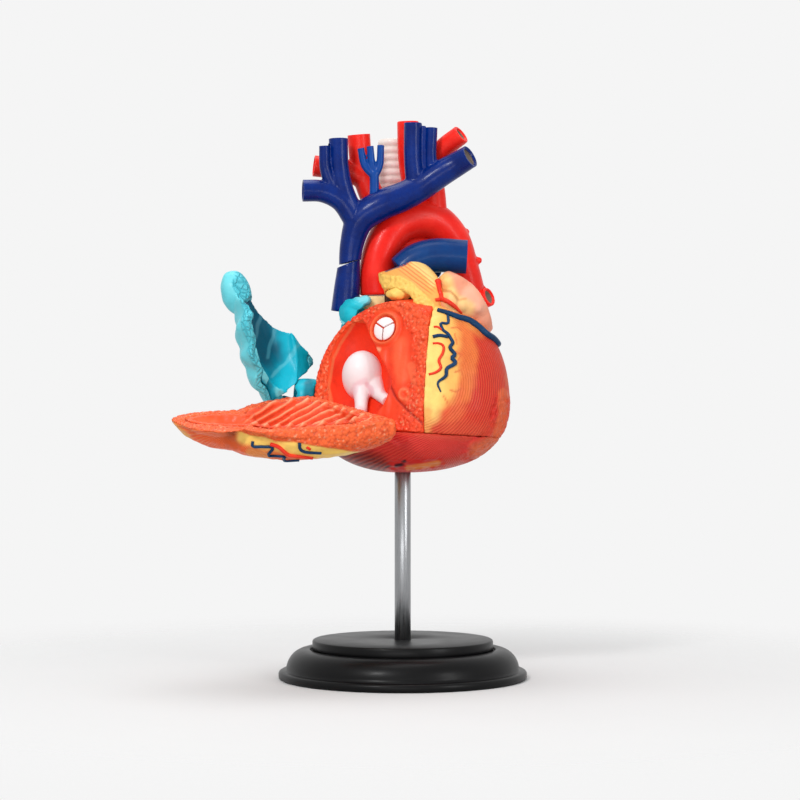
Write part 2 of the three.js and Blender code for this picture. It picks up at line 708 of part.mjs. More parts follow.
function baseShell() {
  const rise = SHOULDER_TOP - BASE_RIM_HEIGHT;
  const reach = SHOULDER_RADIUS - SHOULDER_TOP_RADIUS;
  const plateTop = SHOULDER_TOP - DISC_POCKET;
  const plateFoot = plateTop - BASE_WALL;
  const outer = quarterRound(SHOULDER_TOP_RADIUS, BASE_RIM_HEIGHT, reach, rise, 5);
  const innerReach = reach - BASE_WALL;
  const innerRise = plateFoot - BASE_RIM_HEIGHT;
  const inner = quarterRound(SHOULDER_TOP_RADIUS, BASE_RIM_HEIGHT, innerReach, innerRise, 2);
  const shell = turned([
    [0, 0],
    [ROD_BOSS_RADIUS, 0],
    [ROD_BOSS_RADIUS, plateFoot],
    ...inner.reverse(),
    [SHOULDER_TOP_RADIUS + innerReach, 0],
    [BASE_RADIUS - BASE_EDGE, 0],
    [BASE_RADIUS, BASE_EDGE],
    [BASE_RADIUS, BASE_RIM_HEIGHT - BASE_EDGE],
    [BASE_RADIUS - BASE_EDGE, BASE_RIM_HEIGHT],
    ...outer,
    [DISC_RADIUS + DISC_GROOVE, SHOULDER_TOP],
    [DISC_RADIUS + DISC_GROOVE, plateTop],
    [0, plateTop],
  ]);
  const ribs = [];
  for (let i = 0; i < BASE_RIBS; i += 1) {
    const length = SHOULDER_TOP_RADIUS - ROD_BOSS_RADIUS + BASE_WALL;
    const rib = new THREE.BoxGeometry(length, BASE_RIB_THICKNESS, plateFoot);
    rib.translate(ROD_BOSS_RADIUS + length / 2 - 1, 0, plateFoot / 2 + BASE_RIB_FOOT);
    rib.rotateZ((2 * Math.PI * i) / BASE_RIBS);
    ribs.push(solid(rib));
  }
  return cut(join([shell, ...ribs]), [rodBar(GAP)]);
}

function rodBar(grow = 0) {
  const low = ROD_FOOT - grow;
  const high = ROD_TOP + grow;
  const radius = ROD_RADIUS + grow;
  const chamfer = grow > 0 ? 0 : ROD_CHAMFER;
  return turned([
    [0, low],
    [radius - chamfer, low],
    [radius, low + chamfer],
    [radius, high - chamfer],
    [radius - chamfer, high],
    [0, high],
  ].filter(([r, z], i, all) => i === 0 || r !== all[i - 1][0] || z !== all[i - 1][1]), 24);
}

function topDisc() {
  const foot = SHOULDER_TOP - DISC_POCKET + GAP;
  const disc = turned([
    [0, foot],
    [DISC_RADIUS, foot],
    [DISC_RADIUS, DISC_TOP - DISC_EDGE],
    [DISC_RADIUS - DISC_EDGE, DISC_TOP],
    [0, DISC_TOP],
  ]);
  return disc.subtract(rodBar(GAP));
}

// Fixed pieces of the heart

const slabGrown = sectionSlab(GAP);
const ventriclesGrown = ventricles(GAP);
const aortaGrown = aorta(GAP);
const trunkGrown = pulmonaryArtery(GAP);
const leftAtriumGrown = atriumLeft(GAP);
const rightAtriumGrown = atriumRight(GAP);
const rootGrown = aorticRoot(GAP);
const conusGrown = conus(GAP);
const cavaGrown = cavaLower(GAP);
const inferiorGrown = cavaInferior(GAP);
const lungVeinsGrown = lungVeins(GAP);

const bodyBarrels = (grow = 0) => join([
  barrel(VENTRICLE_HINGE_POINT, hingeAxis, ...BODY_BARREL_LOW, grow),
  barrel(VENTRICLE_HINGE_POINT, hingeAxis, ...BODY_BARREL_HIGH, grow),
]);
const wallBarrel = (grow = 0) => (
  barrel(VENTRICLE_HINGE_POINT, hingeAxis, ...WALL_BARREL, grow)
);
const hingePinMiddle = along(VENTRICLE_HINGE_POINT, hingeAxis, PIN_MIDDLE);

function lowerShell() {
  const below = ventricles().intersect(outOf(seam));
  const front = keep(ventricles(), [outOf(section), inside(margin)]);
  const shell = keep(below.add(front), [inside(marginBelow)]);
  return cut(shell.add(bodyBarrels()), [
    outOf(section, -GAP / 2).intersect(outOf(margin, -GAP / 2)),
    wallBarrel(GAP),
    pin(hingePinMiddle, hingeAxis, GAP),
    rodBar(GAP),
    inferiorGrown,
    slabGrown,
  ]);
}

function leftVentricle() {
  const wall = keep(ventricles(), [inside(groove), inside(seam)]);
  return cut(wall, [leftAtriumGrown, lungVeinsGrown, rootGrown]);
}

function recess() {
  const axes = axesAlong(RECESS_AXIS, SECTION_NORMAL);
  const halves = [RECESS_HALF_LENGTH, RECESS_DEPTH, RECESS_HALF_WIDTH];
  return ellipsoid(RECESS_CENTRE, axes, halves, 0, SMALL_BALL_DETAIL + 1);
}

function rightVentricleBack() {
  return cut(sectionSlab(), [recess(), tricuspid(GAP)]);
}

function septum() {
  const ring = bar(PULMONARY_SEAT, SECTION_NORMAL, PULMONARY_RING_RADIUS, 2 * PULMONARY_RING_HEIGHT, 24);
  const wall = keep(ventricles(), [inside(section), outOf(groove), inside(seam)]);
  return cut(wall.add(ring), [
    slabGrown,
    rightAtriumGrown,
    leftAtriumGrown,
    inferiorGrown,
    rootGrown,
    lungVeinsGrown,
    bar(PULMONARY_SEAT, SECTION_NORMAL, CUSP_RADIUS + GAP, 2 * PULMONARY_RING_HEIGHT + 1, 20),
  ]);
}

// One cusp: the third of a thin disc about a direction, parted from the others by a slot
function pulmonaryCusp(turn) {
  const [, up, across] = axesAlong(SECTION_NORMAL, WORLD[2]);
  const disc = bar(PULMONARY_SEAT, SECTION_NORMAL, CUSP_RADIUS, 2 * CUSP_HEIGHT, 24);
  const sides = [Math.PI / 6, -Math.PI / 6].map((lean) => {
    const normal = up.clone().multiplyScalar(Math.cos(turn + lean));
    normal.addScaledVector(across, Math.sin(turn + lean));
    return beyond(normal, PULMONARY_SEAT, CUSP_SLOT / 2);
  });
  return keep(disc, [...sides, beyond(SECTION_NORMAL, PULMONARY_SEAT, -CUSP_HEIGHT)]);
}

function tricuspid(grow = 0) {
  const dome = ellipsoid(TRICUSPID_CENTRE, WORLD, TRICUSPID_HALVES, grow);
  return join([dome, tubes(TRICUSPID_LEGS, grow)]);
}

function rightAtrium() {
  const hollow = atriumSide(-ATRIUM_WALL_THICKNESS);
  const room = ellipsoid(ATRIUM_CENTRE, WORLD, ATRIUM_HALVES, -ATRIUM_WALL_THICKNESS);
  return cut(atriumRight(), [
    hollow,
    keep(room, [beyond(wallOut, ATRIUM_WALL_CORNER, -ATRIUM_ROOM_DEPTH)]),
    slabGrown,
    aortaGrown,
    trunkGrown,
    leftAtriumGrown,
    cavaGrown,
    rootGrown,
    inferiorGrown,
    lungVeinsGrown,
    wallBarrel(GAP),
  ]);
}

const floorBarrels = (grow = 0) => join([
  barrel(ATRIUM_HINGE_POINT, ATRIUM_HINGE_AXIS, ...ATRIUM_BARREL_LOW, grow),
  barrel(ATRIUM_HINGE_POINT, ATRIUM_HINGE_AXIS, ...ATRIUM_BARREL_HIGH, grow),
]);
const atriumWallBarrel = (grow = 0) => (
  barrel(ATRIUM_HINGE_POINT, ATRIUM_HINGE_AXIS, ...ATRIUM_WALL_BARREL, grow)
);
const atriumPin = (grow = 0) => pin(ATRIUM_HINGE_POINT, ATRIUM_HINGE_AXIS, grow);

// The arm from the side wall to its barrel, drawn shut
function atriumArm(grow = 0) {
  return vessel([
    [...ATRIUM_HINGE_POINT.toArray(), ATRIUM_ARM_RADIUS],
    [...wallPoint(ATRIUM_ARM_END).toArray(), ATRIUM_ARM_RADIUS],
  ], grow, 10);
}

function rightAtriumFloor() {
  const hollow = sideForm(ATRIUM_WALL_THICKNESS + ATRIUM_LINING + GAP + FLOOR_CLEARANCE, -FAR / 2);
  return cut(atriumFloor().add(floorBarrels()), [
    ventriclesGrown,
    rightAtriumGrown,
    bar(ATRIUM_HINGE_POINT, ATRIUM_HINGE_AXIS, ATRIUM_ARM_ROOM, ATRIUM_SLOT, 16),
    atriumPin(GAP),
    sideForm(-FLOOR_CLEARANCE, -FLOOR_CLEARANCE).subtract(hollow),
    atriumArm(FLOOR_CLEARANCE),
    swingRoom(SWING_ROOM[2][0]),
  ]);
}

function conusShell() {
  const hollow = conus(-CONUS_WALL);
  return cut(conus().intersect(inside(section)), [
    ventriclesGrown,
    trunkGrown,
    aortaGrown,
    rootGrown,
    leftAtriumGrown,
    hollow,
  ]);
}

function leftAuricle() {
  return cut(auricleLeft(), [
    ventriclesGrown,
    conusGrown,
    trunkGrown,
    leftAtriumGrown,
    aortaGrown,
    lungVeinsGrown,
  ]);
}

// Hinged walls, drawn shut

function wallSwells(grow) {
  const bridge = axesAlong(BRIDGE_AXIS, SECTION_NORMAL);
  const belly = axesAlong(BELLY_AXIS, SECTION_NORMAL);
  return join([
    ellipsoid(BRIDGE_CENTRE, bridge, BRIDGE_HALVES, grow, SMALL_BALL_DETAIL + 1),
    ellipsoid(BELLY_CENTRE, belly, BELLY_HALVES, grow, SMALL_BALL_DETAIL + 1),
  ]);
}

function wallForm(inset, start = GAP / 2) {
  const muscle = keep(ventricles(-inset).add(wallSwells(-inset)), [
    outOf(groove, GAP / 2 + inset),
    outOf(margin, GAP / 2 + inset),
    inside(marginAbove, GAP / 2 + inset),
  ]);
  return muscle.add(conus(-inset)).intersect(outOf(section, start));
}

const ringRoom = bar(
  PULMONARY_SEAT,
  SECTION_NORMAL,
  PULMONARY_RING_RADIUS + RING_CLEARANCE,
  2 * (PULMONARY_RING_HEIGHT + RING_CLEARANCE),
  16,
);

function ventricleWall() {
  return cut(wallForm(0).add(wallBarrel()), [
    wallForm(VENTRICLE_WALL, -1),
    bodyBarrels(GAP),
    pin(hingePinMiddle, hingeAxis, GAP),
    aortaGrown,
    trunkGrown,
    ringRoom,
  ]);
}

function ventricleLining() {
  const outset = VENTRICLE_WALL + GAP;
  const skin = wallForm(outset).subtract(wallForm(outset + VENTRICLE_LINING, -1));
  return skin.subtract(ringRoom);
}

function sidePlane([up, across], [atUp, atAcross]) {
  const normal = wallUp.clone().multiplyScalar(up).addScaledVector(wallAcross, across);
  const point = ATRIUM_WALL_CORNER.clone().addScaledVector(wallUp, atUp);
  return { normal: normal.normalize(), point: point.addScaledVector(wallAcross, atAcross) };
}

const farSide = sidePlane(ATRIUM_FAR_NORMAL, ATRIUM_FAR_POINT);
const footSide = sidePlane(ATRIUM_FOOT_NORMAL, ATRIUM_FAR_POINT);

function wallPoint([up, across, out]) {
  const point = ATRIUM_WALL_CORNER.clone().addScaledVector(wallUp, up);
  return point.addScaledVector(wallAcross, across).addScaledVector(wallOut, out);
}

// The side wall's form, open through its far side and its foot; its top lobe stands past them
function sideForm(inset, start = GAP / 2) {
  const body = keep(atriumSide(-inset), [inside(farSide, start), inside(footSide, start)]);
  const axes = [wallUp, wallAcross, wallOut];
  const lobe = ellipsoid(wallPoint(ATRIUM_TOP_LOBE), axes, ATRIUM_TOP_HALVES, -inset);
  return body.add(lobe).intersect(outOf(wallPlane, start));
}

// What the side wall has to clear: its neighbours when shut, the front wall when open
function clearOfSwing(body) {
  const shut = cut(body, [
    wallForm(-GAP),
    ventriclesGrown,
    cavaLower(SWING_CLEARANCE),
    auricleRight(SWING_CLEARANCE),
    swingRoom(SWING_ROOM[1][0]),
  ]);
  const open = turnedAbout(shut, ATRIUM_HINGE_POINT, ATRIUM_HINGE_AXIS, ATRIUM_OPEN);
  const cleared = open.subtract(swingRoom(SWING_ROOM[2][0]));
  return turnedAbout(cleared, ATRIUM_HINGE_POINT, ATRIUM_HINGE_AXIS, -ATRIUM_OPEN);
}

function turnedAbout(body, point, axis, degrees) {
  const turn = new THREE.Matrix4().makeRotationAxis(
    axis.clone().normalize(),
    THREE.MathUtils.degToRad(degrees),
  );
  turn.setPosition(point.clone().sub(point.clone().applyMatrix4(turn)));
  return body.transform(turn.elements);
}

function atriumWall() {
  const shell = cut(sideForm(0), [sideForm(ATRIUM_WALL_THICKNESS, -1), floorBarrels(GAP)]);
  return cut(join([clearOfSwing(shell), atriumArm(), atriumWallBarrel()]), [atriumPin(GAP)]);
}

function atriumLining() {
  const outset = ATRIUM_WALL_THICKNESS + GAP;
  const skin = sideForm(outset).subtract(sideForm(outset + ATRIUM_LINING, -1));
  return clearOfSwing(skin).subtract(atriumArm(GAP));
}

// Cuts can leave crumbs: keep only the largest connected skin
function largest(geometry) {
  const index = geometry.index.array;
  const root = Array.from({ length: geometry.attributes.position.count }, (_, i) => i);
  const find = (i) => {
    let at = i;
    while (root[at] !== at) {
      root[at] = root[root[at]];
      at = root[at];
    }
    return at;
  };
  for (let i = 0; i < index.length; i += 3) {
    root[find(index[i])] = find(index[i + 1]);
    root[find(index[i + 1])] = find(index[i + 2]);
  }
  const counts = new Map();
  for (let i = 0; i < index.length; i += 3) {
    const key = find(index[i]);
    counts.set(key, (counts.get(key) || 0) + 1);
  }
  const [best] = [...counts.entries()].sort((a, b) => b[1] - a[1])[0];
  geometry.setIndex(Array.from(index).filter((_, i) => find(index[i - (i % 3)]) === best));
  return geometry;
}

// Scene

function mesh(name, manifold, colour, group) {
  const geometry = geometryOf(manifold);
  const [hex, roughness, metalness] = COLOURS[colour];
  const material = new THREE.MeshStandardMaterial({ color: hex, roughness, metalness });
  const piece = new THREE.Mesh(largest(geometry), material);
  piece.name = name;
  group.add(piece);
}

// A group whose pieces are drawn shut and turned open about a line
function hinged(point, axis, degrees) {
  const outer = new THREE.Group();
  outer.position.copy(point);
  outer.quaternion.setFromAxisAngle(axis.clone().normalize(), THREE.MathUtils.degToRad(degrees));
  const inner = new THREE.Group();
  inner.position.copy(point).negate();
  outer.add(inner);
  return { outer, inner };
}

const group = new THREE.Group();
const stand = new THREE.Group();
const heart = new THREE.Group();
group.add(stand, heart);

mesh('base_shell', baseShell(), 'black', stand);
mesh('base_top_disc', topDisc(), 'black', stand);
mesh('support_rod', rodBar(), 'steel', stand);

mesh('lower_ventricle_shell', lowerShell(), 'darkMuscle', heart);
mesh('left_ventricle_wall', leftVentricle(), 'muscle', heart);
mesh('ventricular_septum', septum(), 'muscle', heart);
mesh('right_ventricle_back', rightVentricleBack(), 'muscle', heart);
mesh('tricuspid_valve', cut(tricuspid(), [inside(section, SECTION_SLAB - GAP)]), 'valve', heart);
CUSP_NAMES.forEach((name, i) => {
  mesh(name, pulmonaryCusp((2 * Math.PI * i) / CUSP_NAMES.length), 'valve', heart);
});
mesh('conus_arteriosus', conusShell(), 'fat', heart);
mesh('aortic_root', cut(aorticRoot(), [
  ventriclesGrown,
  aortaGrown,
  trunkGrown,
  leftAtriumGrown,
  cavaGrown,
]), 'fat', heart);
mesh('conus_fat_pad', cut(fatPad(), [
  ventriclesGrown,
  conus(GAP).subtract(conus(-CONUS_WALL - GAP)),
  trunkGrown,
]), 'fat', heart);
mesh('right_atrium', rightAtrium(), 'atrium', heart);
mesh('right_auricle', cut(auricleRight(), [
  ventriclesGrown,
  slabGrown,
  rightAtriumGrown,
  cavaGrown,
  aortaGrown,
  rootGrown,
  conusGrown,
  outOf(section, -GAP / 2),
  atriumSide(GAP).intersect(outOf(wallPlane, -GAP)),
]), 'atrium', heart);
mesh('right_atrium_floor', rightAtriumFloor(), 'atrium', heart);
mesh('inferior_vena_cava', cavaInferior(), 'vein', heart);
mesh('left_atrium', cut(atriumLeft(), [aortaGrown, trunkGrown]), 'atrium', heart);
mesh('left_auricle', leftAuricle(), 'auricle', heart);
for (const [name, stops] of Object.entries(PULMONARY_VEINS)) {
  mesh(name, cut(vessel(stops, 0, 10), [leftAtriumGrown, aortaGrown]), 'artery', heart);
}
mesh('pulmonary_artery', cut(pulmonaryArtery(), [aortaGrown]), 'vein', heart);
mesh('aortic_arch', aorta(), 'artery', heart);
mesh('brachiocephalic_artery', cut(brachiocephalic(), [aortaGrown]), 'artery', heart);
mesh('left_carotid_artery', cut(leftCarotid(), [aortaGrown]), 'artery', heart);
mesh('left_subclavian_artery', cut(leftSubclavian(), [
  aortaGrown,
  leftCarotid(GAP),
]), 'artery', heart);
mesh('superior_vena_cava', cut(cavaLower(), [
  outOf(cavaLowerSeam),
  cavaPeg(GAP),
  greatVeins(GAP).intersect(outOf(cavaSeam, -GAP)),
  aortaGrown,
]), 'vein', heart);
mesh('great_veins', cut(greatVeins(), [
  inside(cavaSeam),
  aortaGrown,
  brachiocephalic(GAP),
  leftCarotid(GAP),
  leftSubclavian(GAP),
]).add(cavaPeg()), 'vein', heart);
mesh('thyroid_veins', cut(tubes([THYROID_STEM, ...THYROID_BRANCHES]), [
  greatVeins(GAP),
  brachiocephalic(GAP),
]), 'vein', heart);
mesh('trachea', cut(windpipe(), [
  aortaGrown,
  trunkGrown,
  brachiocephalic(GAP),
  leftCarotid(GAP),
  leftAtriumGrown,
]), 'cartilage', heart);
mesh('ventricle_hinge_pin', pin(hingePinMiddle, hingeAxis), 'steel', heart);
mesh('atrium_hinge_pin', atriumPin(), 'steel', heart);

const frontWall = hinged(VENTRICLE_HINGE_POINT, hingeAxis, VENTRICLE_OPEN);
heart.add(frontWall.outer);
mesh('right_ventricle_wall', ventricleWall(), 'fat', frontWall.inner);
mesh('right_ventricle_lining', ventricleLining(), 'muscle', frontWall.inner);

const sideWall = hinged(ATRIUM_HINGE_POINT, ATRIUM_HINGE_AXIS, ATRIUM_OPEN);
heart.add(sideWall.outer);
mesh('right_atrium_wall', atriumWall(), 'atrium', sideWall.inner);
mesh('right_atrium_lining', atriumLining(), 'atrium', sideWall.inner);

export default group;
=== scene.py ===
# %% [markdown]
# # A take-apart heart on a stand
# The real object is a painted plastic model of the human heart. Its front wall and the side wall
# of its right atrium swing open on pins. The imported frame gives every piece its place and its
# motion. This lesson gives each piece a finer skin, its paint and its gloss.

import bmesh
import bpy
import numpy as np
from mathutils import Matrix, Vector, noise
from mathutils.bvhtree import BVHTree


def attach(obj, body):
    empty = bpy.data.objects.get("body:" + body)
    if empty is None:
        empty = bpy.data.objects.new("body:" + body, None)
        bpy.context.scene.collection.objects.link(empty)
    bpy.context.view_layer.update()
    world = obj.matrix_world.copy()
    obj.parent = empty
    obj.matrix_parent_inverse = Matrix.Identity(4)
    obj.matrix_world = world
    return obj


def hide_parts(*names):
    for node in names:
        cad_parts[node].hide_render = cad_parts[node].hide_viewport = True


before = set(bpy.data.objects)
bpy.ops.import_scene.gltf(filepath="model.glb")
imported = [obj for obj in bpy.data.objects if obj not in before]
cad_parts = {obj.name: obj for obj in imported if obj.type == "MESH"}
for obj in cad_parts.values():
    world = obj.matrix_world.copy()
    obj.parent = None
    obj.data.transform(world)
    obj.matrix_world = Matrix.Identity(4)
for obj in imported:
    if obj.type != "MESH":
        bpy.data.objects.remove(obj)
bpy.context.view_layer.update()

# %% [markdown]
# ## The drawing
# The photograph was taken level, from 0.8 m. One step of its grid is 0.371 mm at the rod. Paint
# and small details are placed on that grid, and this cell turns grid places into millimetres.
# Everything is worked out in millimetres and turned into metres as a piece is finished.

# %% Camera and grid
MM = 0.001
EYE = np.array([-1.0, -800.0, 96.0])
GRID_STEP = 0.371
GRID_MIDDLE = 402.9
GRID_TOP = 251.5
LENS = 97.04
SHIFT_UP = 0.0239


def on_grid(points):
    """Where points in millimetres fall on the drawing's grid, seen from the eye."""
    points = np.asarray(points, float)
    scale = EYE[1] / (EYE[1] - points[:, 1])
    across = EYE[0] + (points[:, 0] - EYE[0]) * scale
    up = EYE[2] + (points[:, 2] - EYE[2]) * scale
    return np.stack([across / GRID_STEP + GRID_MIDDLE, (GRID_TOP - up) / GRID_STEP], 1)


def sight(place):
    """The direction from the eye through a place on the grid."""
    across, down = place
    target = np.array([(across - GRID_MIDDLE) * GRID_STEP, 0, GRID_TOP - down * GRID_STEP])
    return Vector(target - EYE).normalized()


camera = bpy.data.objects.new("camera", bpy.data.cameras.new("camera"))
camera.location = Vector(EYE) * MM
camera.rotation_euler = (np.pi / 2, 0, 0)
camera.data.lens = LENS
camera.data.shift_y = SHIFT_UP
camera.data.clip_start = 0.01
bpy.context.scene.collection.objects.link(camera)
bpy.context.scene.camera = camera
bpy.context.scene.view_settings.view_transform = "Standard"
print("camera at", tuple(round(v, 3) for v in camera.location))

# %% [markdown]
# ## Shader maths as plain expressions
# A finish is a material whose maths reads like arithmetic. A small class wraps a socket, and the
# operators on it add Math nodes. Every other node comes from one method.

# %% Sockets that add up
class Value:
    """The output of a node, with arithmetic that adds Math nodes."""

    def __init__(self, finish, socket):
        self.finish = finish
        self.socket = socket

    def math(self, operation, *values):
        return self.finish.node("ShaderNodeMath", {"operation": operation}, dict(enumerate(values)))

    def __add__(self, other):
        return self.math("ADD", self, other)

    def __sub__(self, other):
        return self.math("SUBTRACT", self, other)

    def __rsub__(self, other):
        return self.math("SUBTRACT", other, self)

    def __mul__(self, other):
        return self.math("MULTIPLY", self, other)

    def __pow__(self, other):
        return self.math("POWER", self, other)

    __radd__ = __add__
    __rmul__ = __mul__

    def wave(self):
        return self.math("SINE", self) * 0.5 + 0.5

    def ramp(self, low, high):
        """0 below low, 1 above high, with a soft step between."""
        settings = {"interpolation_type": "SMOOTHSTEP"}
        values = {"Value": self, "From Min": low, "From Max": high}
        return self.finish.node("ShaderNodeMapRange", settings, values)


def rgb(text):
    """A colour written as on a screen, as the linear numbers that a shader takes."""
    parts = [int(text[i:i + 2], 16) / 255 for i in (1, 3, 5)]
    return tuple(((c + 0.055) / 1.055) ** 2.4 if c > 0.04045 else c / 12.92 for c in parts)


print("shader sums become Math nodes")

# %% Finishes
class Finish:
    """One material. Its places are in millimetres on the piece, so they move with it."""

    def __init__(self, name, constants):
        self.material = bpy.data.materials.new(name)
        self.material.use_nodes = True
        self.tree = self.material.node_tree
        self.shader = self.tree.nodes["Principled BSDF"]
        for socket, value in constants.items():
            self.shader.inputs[socket].default_value = value
        coordinates = self.node("ShaderNodeTexCoord", {}, {}, "Object")
        self.place = self.vector("SCALE", coordinates, scale=1 / MM)
        print("finish", name)

    def node(self, kind, settings, values, output=0):
        made = self.tree.nodes.new(kind)
        for name, value in settings.items():
            setattr(made, name, value)
        for name, value in values.items():
            self.feed(made.inputs[name], value)
        return Value(self, made.outputs[output])

    def feed(self, socket, value):
        if isinstance(value, Value):
            self.tree.links.new(value.socket, socket)
        elif isinstance(value, tuple) and len(value) == 3 and socket.type == "RGBA":
            socket.default_value = (*value, 1)
        else:
            socket.default_value = value

    def vector(self, operation, first, second=None, scale=None):
        values = {0: first}
        if second is not None:
            values[1] = second
        if scale is not None:
            values["Scale"] = scale
        output = 1 if operation in ("LENGTH", "DOT_PRODUCT") else 0
        return self.node("ShaderNodeVectorMath", {"operation": operation}, values, output)

    def stretched(self, amounts):
        return self.vector("MULTIPLY", self.place, amounts)

    def noise(self, size, detail=2.0, place=None):
        values = {"Vector": place or self.place, "Scale": 1 / size, "Detail": detail}
        return self.node("ShaderNodeTexNoise", {}, values)

    def cells(self, size, feature="F1"):
        settings = {"feature": feature}
        values = {"Vector": self.place, "Scale": 1 / size}
        return self.node("ShaderNodeTexVoronoi", settings, values, "Distance")

    def attribute(self, name, output="Fac"):
        return self.node("ShaderNodeAttribute", {"attribute_name": name}, {}, output)

    def mix(self, amount, first, second):
        values = {0: amount, 6: first, 7: second}
        return self.node("ShaderNodeMix", {"data_type": "RGBA"}, values, 2)

    def colour(self, value):
        self.feed(self.shader.inputs["Base Color"], value)

    def roughness(self, value):
        self.feed(self.shader.inputs["Roughness"], value)

    def relief(self, height, depth):
        """Small ups and downs, with their depth in millimetres."""
        values = {"Height": height, "Distance": depth * MM, "Strength": 1.0}
        bump = self.node("ShaderNodeBump", {}, values)
        self.feed(self.shader.inputs["Normal"], bump)


print("shader helpers ready")

# %% [markdown]
# ## Meshes
# Most of the heart is made of star-shaped forms: from one middle point, a form's skin is met once
# in each direction. A fine ball whose radius is a function of direction makes any of them. Flat
# cuts part the forms, a voxel remesh joins and evens the mesh, and then numbers move its points,
# as a modeller's tools would press clay.

# %% Making meshes and moving their points
def unit(v):
    v = np.asarray(v, float)
    return v / np.linalg.norm(v)


def make(name, points, faces):
    mesh = bpy.data.meshes.new(name)
    mesh.from_pydata([tuple(p) for p in points], [], faces)
    made = bpy.data.objects.new(name, mesh)
    bpy.context.scene.collection.objects.link(made)
    return made


def poured(name, shape):
    """A new piece from a shape that was built up in an edit mesh, which is then let go."""
    made = make(name, [], [])
    shape.to_mesh(made.data)
    shape.free()
    return made


def points_of(piece):
    values = np.empty(len(piece.data.vertices) * 3)
    piece.data.vertices.foreach_get("co", values)
    return values.reshape(-1, 3)


def normals_of(piece):
    values = np.empty(len(piece.data.vertices) * 3, np.float32)
    piece.data.vertex_normals.foreach_get("vector", values)
    return values.reshape(-1, 3).astype(float)


def set_points(piece, points):
    piece.data.vertices.foreach_set("co", np.asarray(points, float).ravel())
    piece.data.update()


def press(piece, amounts):
    """Move each point of a piece out along its skin, by an amount in millimetres."""
    set_points(piece, points_of(piece) + normals_of(piece) * amounts[:, None])


print("points can be read, set and pressed")

# %% Cutting, joining and evening
def evaluated(piece, kind, **settings):
    """Run one modifier on a piece and keep its result as the piece's mesh."""
    modifier = piece.modifiers.new(kind.lower(), kind)
    for name, value in settings.items():
        setattr(modifier, name, value)
    graph = bpy.context.evaluated_depsgraph_get()
    result = bpy.data.meshes.new_from_object(piece.evaluated_get(graph))
    piece.modifiers.clear()
    piece.data = result
    return piece


def carved(piece, tool, operation="DIFFERENCE"):
    evaluated(piece, "BOOLEAN", object=tool, operation=operation, solver="MANIFOLD")
    bpy.data.objects.remove(tool)
    return piece


def evened(piece, voxel, passes=2):
    """Join what overlaps, even out the mesh and take off the steps."""
    evaluated(piece, "REMESH", mode="VOXEL", voxel_size=voxel)
    if passes:
        evaluated(piece, "SMOOTH", factor=0.5, iterations=passes)
    return piece


BLOCK = 400
SEAM_HALF = 0.05


def stood(piece, point, axis):
    """Turn a piece drawn upright so that it stands on a point, along an axis."""
    turn = Vector((0, 0, 1)).rotation_difference(Vector(axis)).to_matrix().to_4x4()
    piece.data.transform(Matrix.Translation(Vector(point)) @ turn)
    return piece


def trimmed(piece, plane, side=1, distance=SEAM_HALF):
    """Keep what lies beyond a plane by a distance, on the side its normal faces, or the other."""
    normal, point = (np.asarray(v, float) for v in plane)
    facing = unit(normal) * side
    shape = bmesh.new()
    bmesh.ops.create_cube(shape, size=BLOCK)
    middle = point + facing * (distance - BLOCK / 2)
    return carved(piece, stood(poured("block", shape), middle, facing))


def joined(name, pieces):
    """All the pieces in one mesh, their overlaps left for a remesh."""
    shape = bmesh.new()
    for piece in pieces:
        shape.from_mesh(piece.data)
        bpy.data.objects.remove(piece)
    return poured(name, shape)


def sight_prism(places, far=100):
    """A block along the sight lines through a closed line on the grid, as far back as y = far."""
    count = len(places)
    rays = [np.array(sight(place)) for place in places]
    points = [EYE + ray / ray[1] * reach for reach in (700, far - EYE[1]) for ray in rays]
    faces = [list(range(count)), list(range(count, 2 * count))[::-1]]
    for i in range(count):
        j = (i + 1) % count
        faces.append([i, count + i, count + j, j])
    made = make("prism", points, faces)
    shape = bmesh.new()
    shape.from_mesh(made.data)
    bmesh.ops.recalc_face_normals(shape, faces=shape.faces[:])
    shape.to_mesh(made.data)
    shape.free()
    return made


print("seams between pieces are", 2 * SEAM_HALF, "mm wide")

# %% Round forms
BALLS = {}


def ball(detail):
    """Directions and faces of an even ball, made once for each fineness."""
    if detail not in BALLS:
        shape = bmesh.new()
        bmesh.ops.create_icosphere(shape, subdivisions=detail, radius=1)
        directions = np.array([v.co for v in shape.verts])
        directions /= np.linalg.norm(directions, axis=1)[:, None]
        BALLS[detail] = (directions, [[v.index for v in f.verts] for f in shape.faces])
        shape.free()
    return BALLS[detail]


def star(name, centre, radius_along, detail=5):
    directions, faces = ball(detail)
    return make(name, np.asarray(centre) + directions * radius_along(directions)[:, None], faces)


def ellipsoid_radius(directions, axes, halves):
    return 1 / np.sqrt(sum((directions @ a / h) ** 2 for a, h in zip(axes, halves)))


def ellipsoid(name, centre, axes, halves, grow=0.0, detail=5):
    grown = [half + grow for half in halves]
    return star(name, centre, lambda d: ellipsoid_radius(d, axes, grown), detail)


def axes_along(first, near):
    x = unit(first)
    z = unit(np.cross(x, near))
    return [x, np.cross(z, x), z]


WORLD = [np.array(a, float) for a in ((1, 0, 0), (0, 1, 0), (0, 0, 1))]


print("a fine ball has", len(ball(5)[0]), "directions")

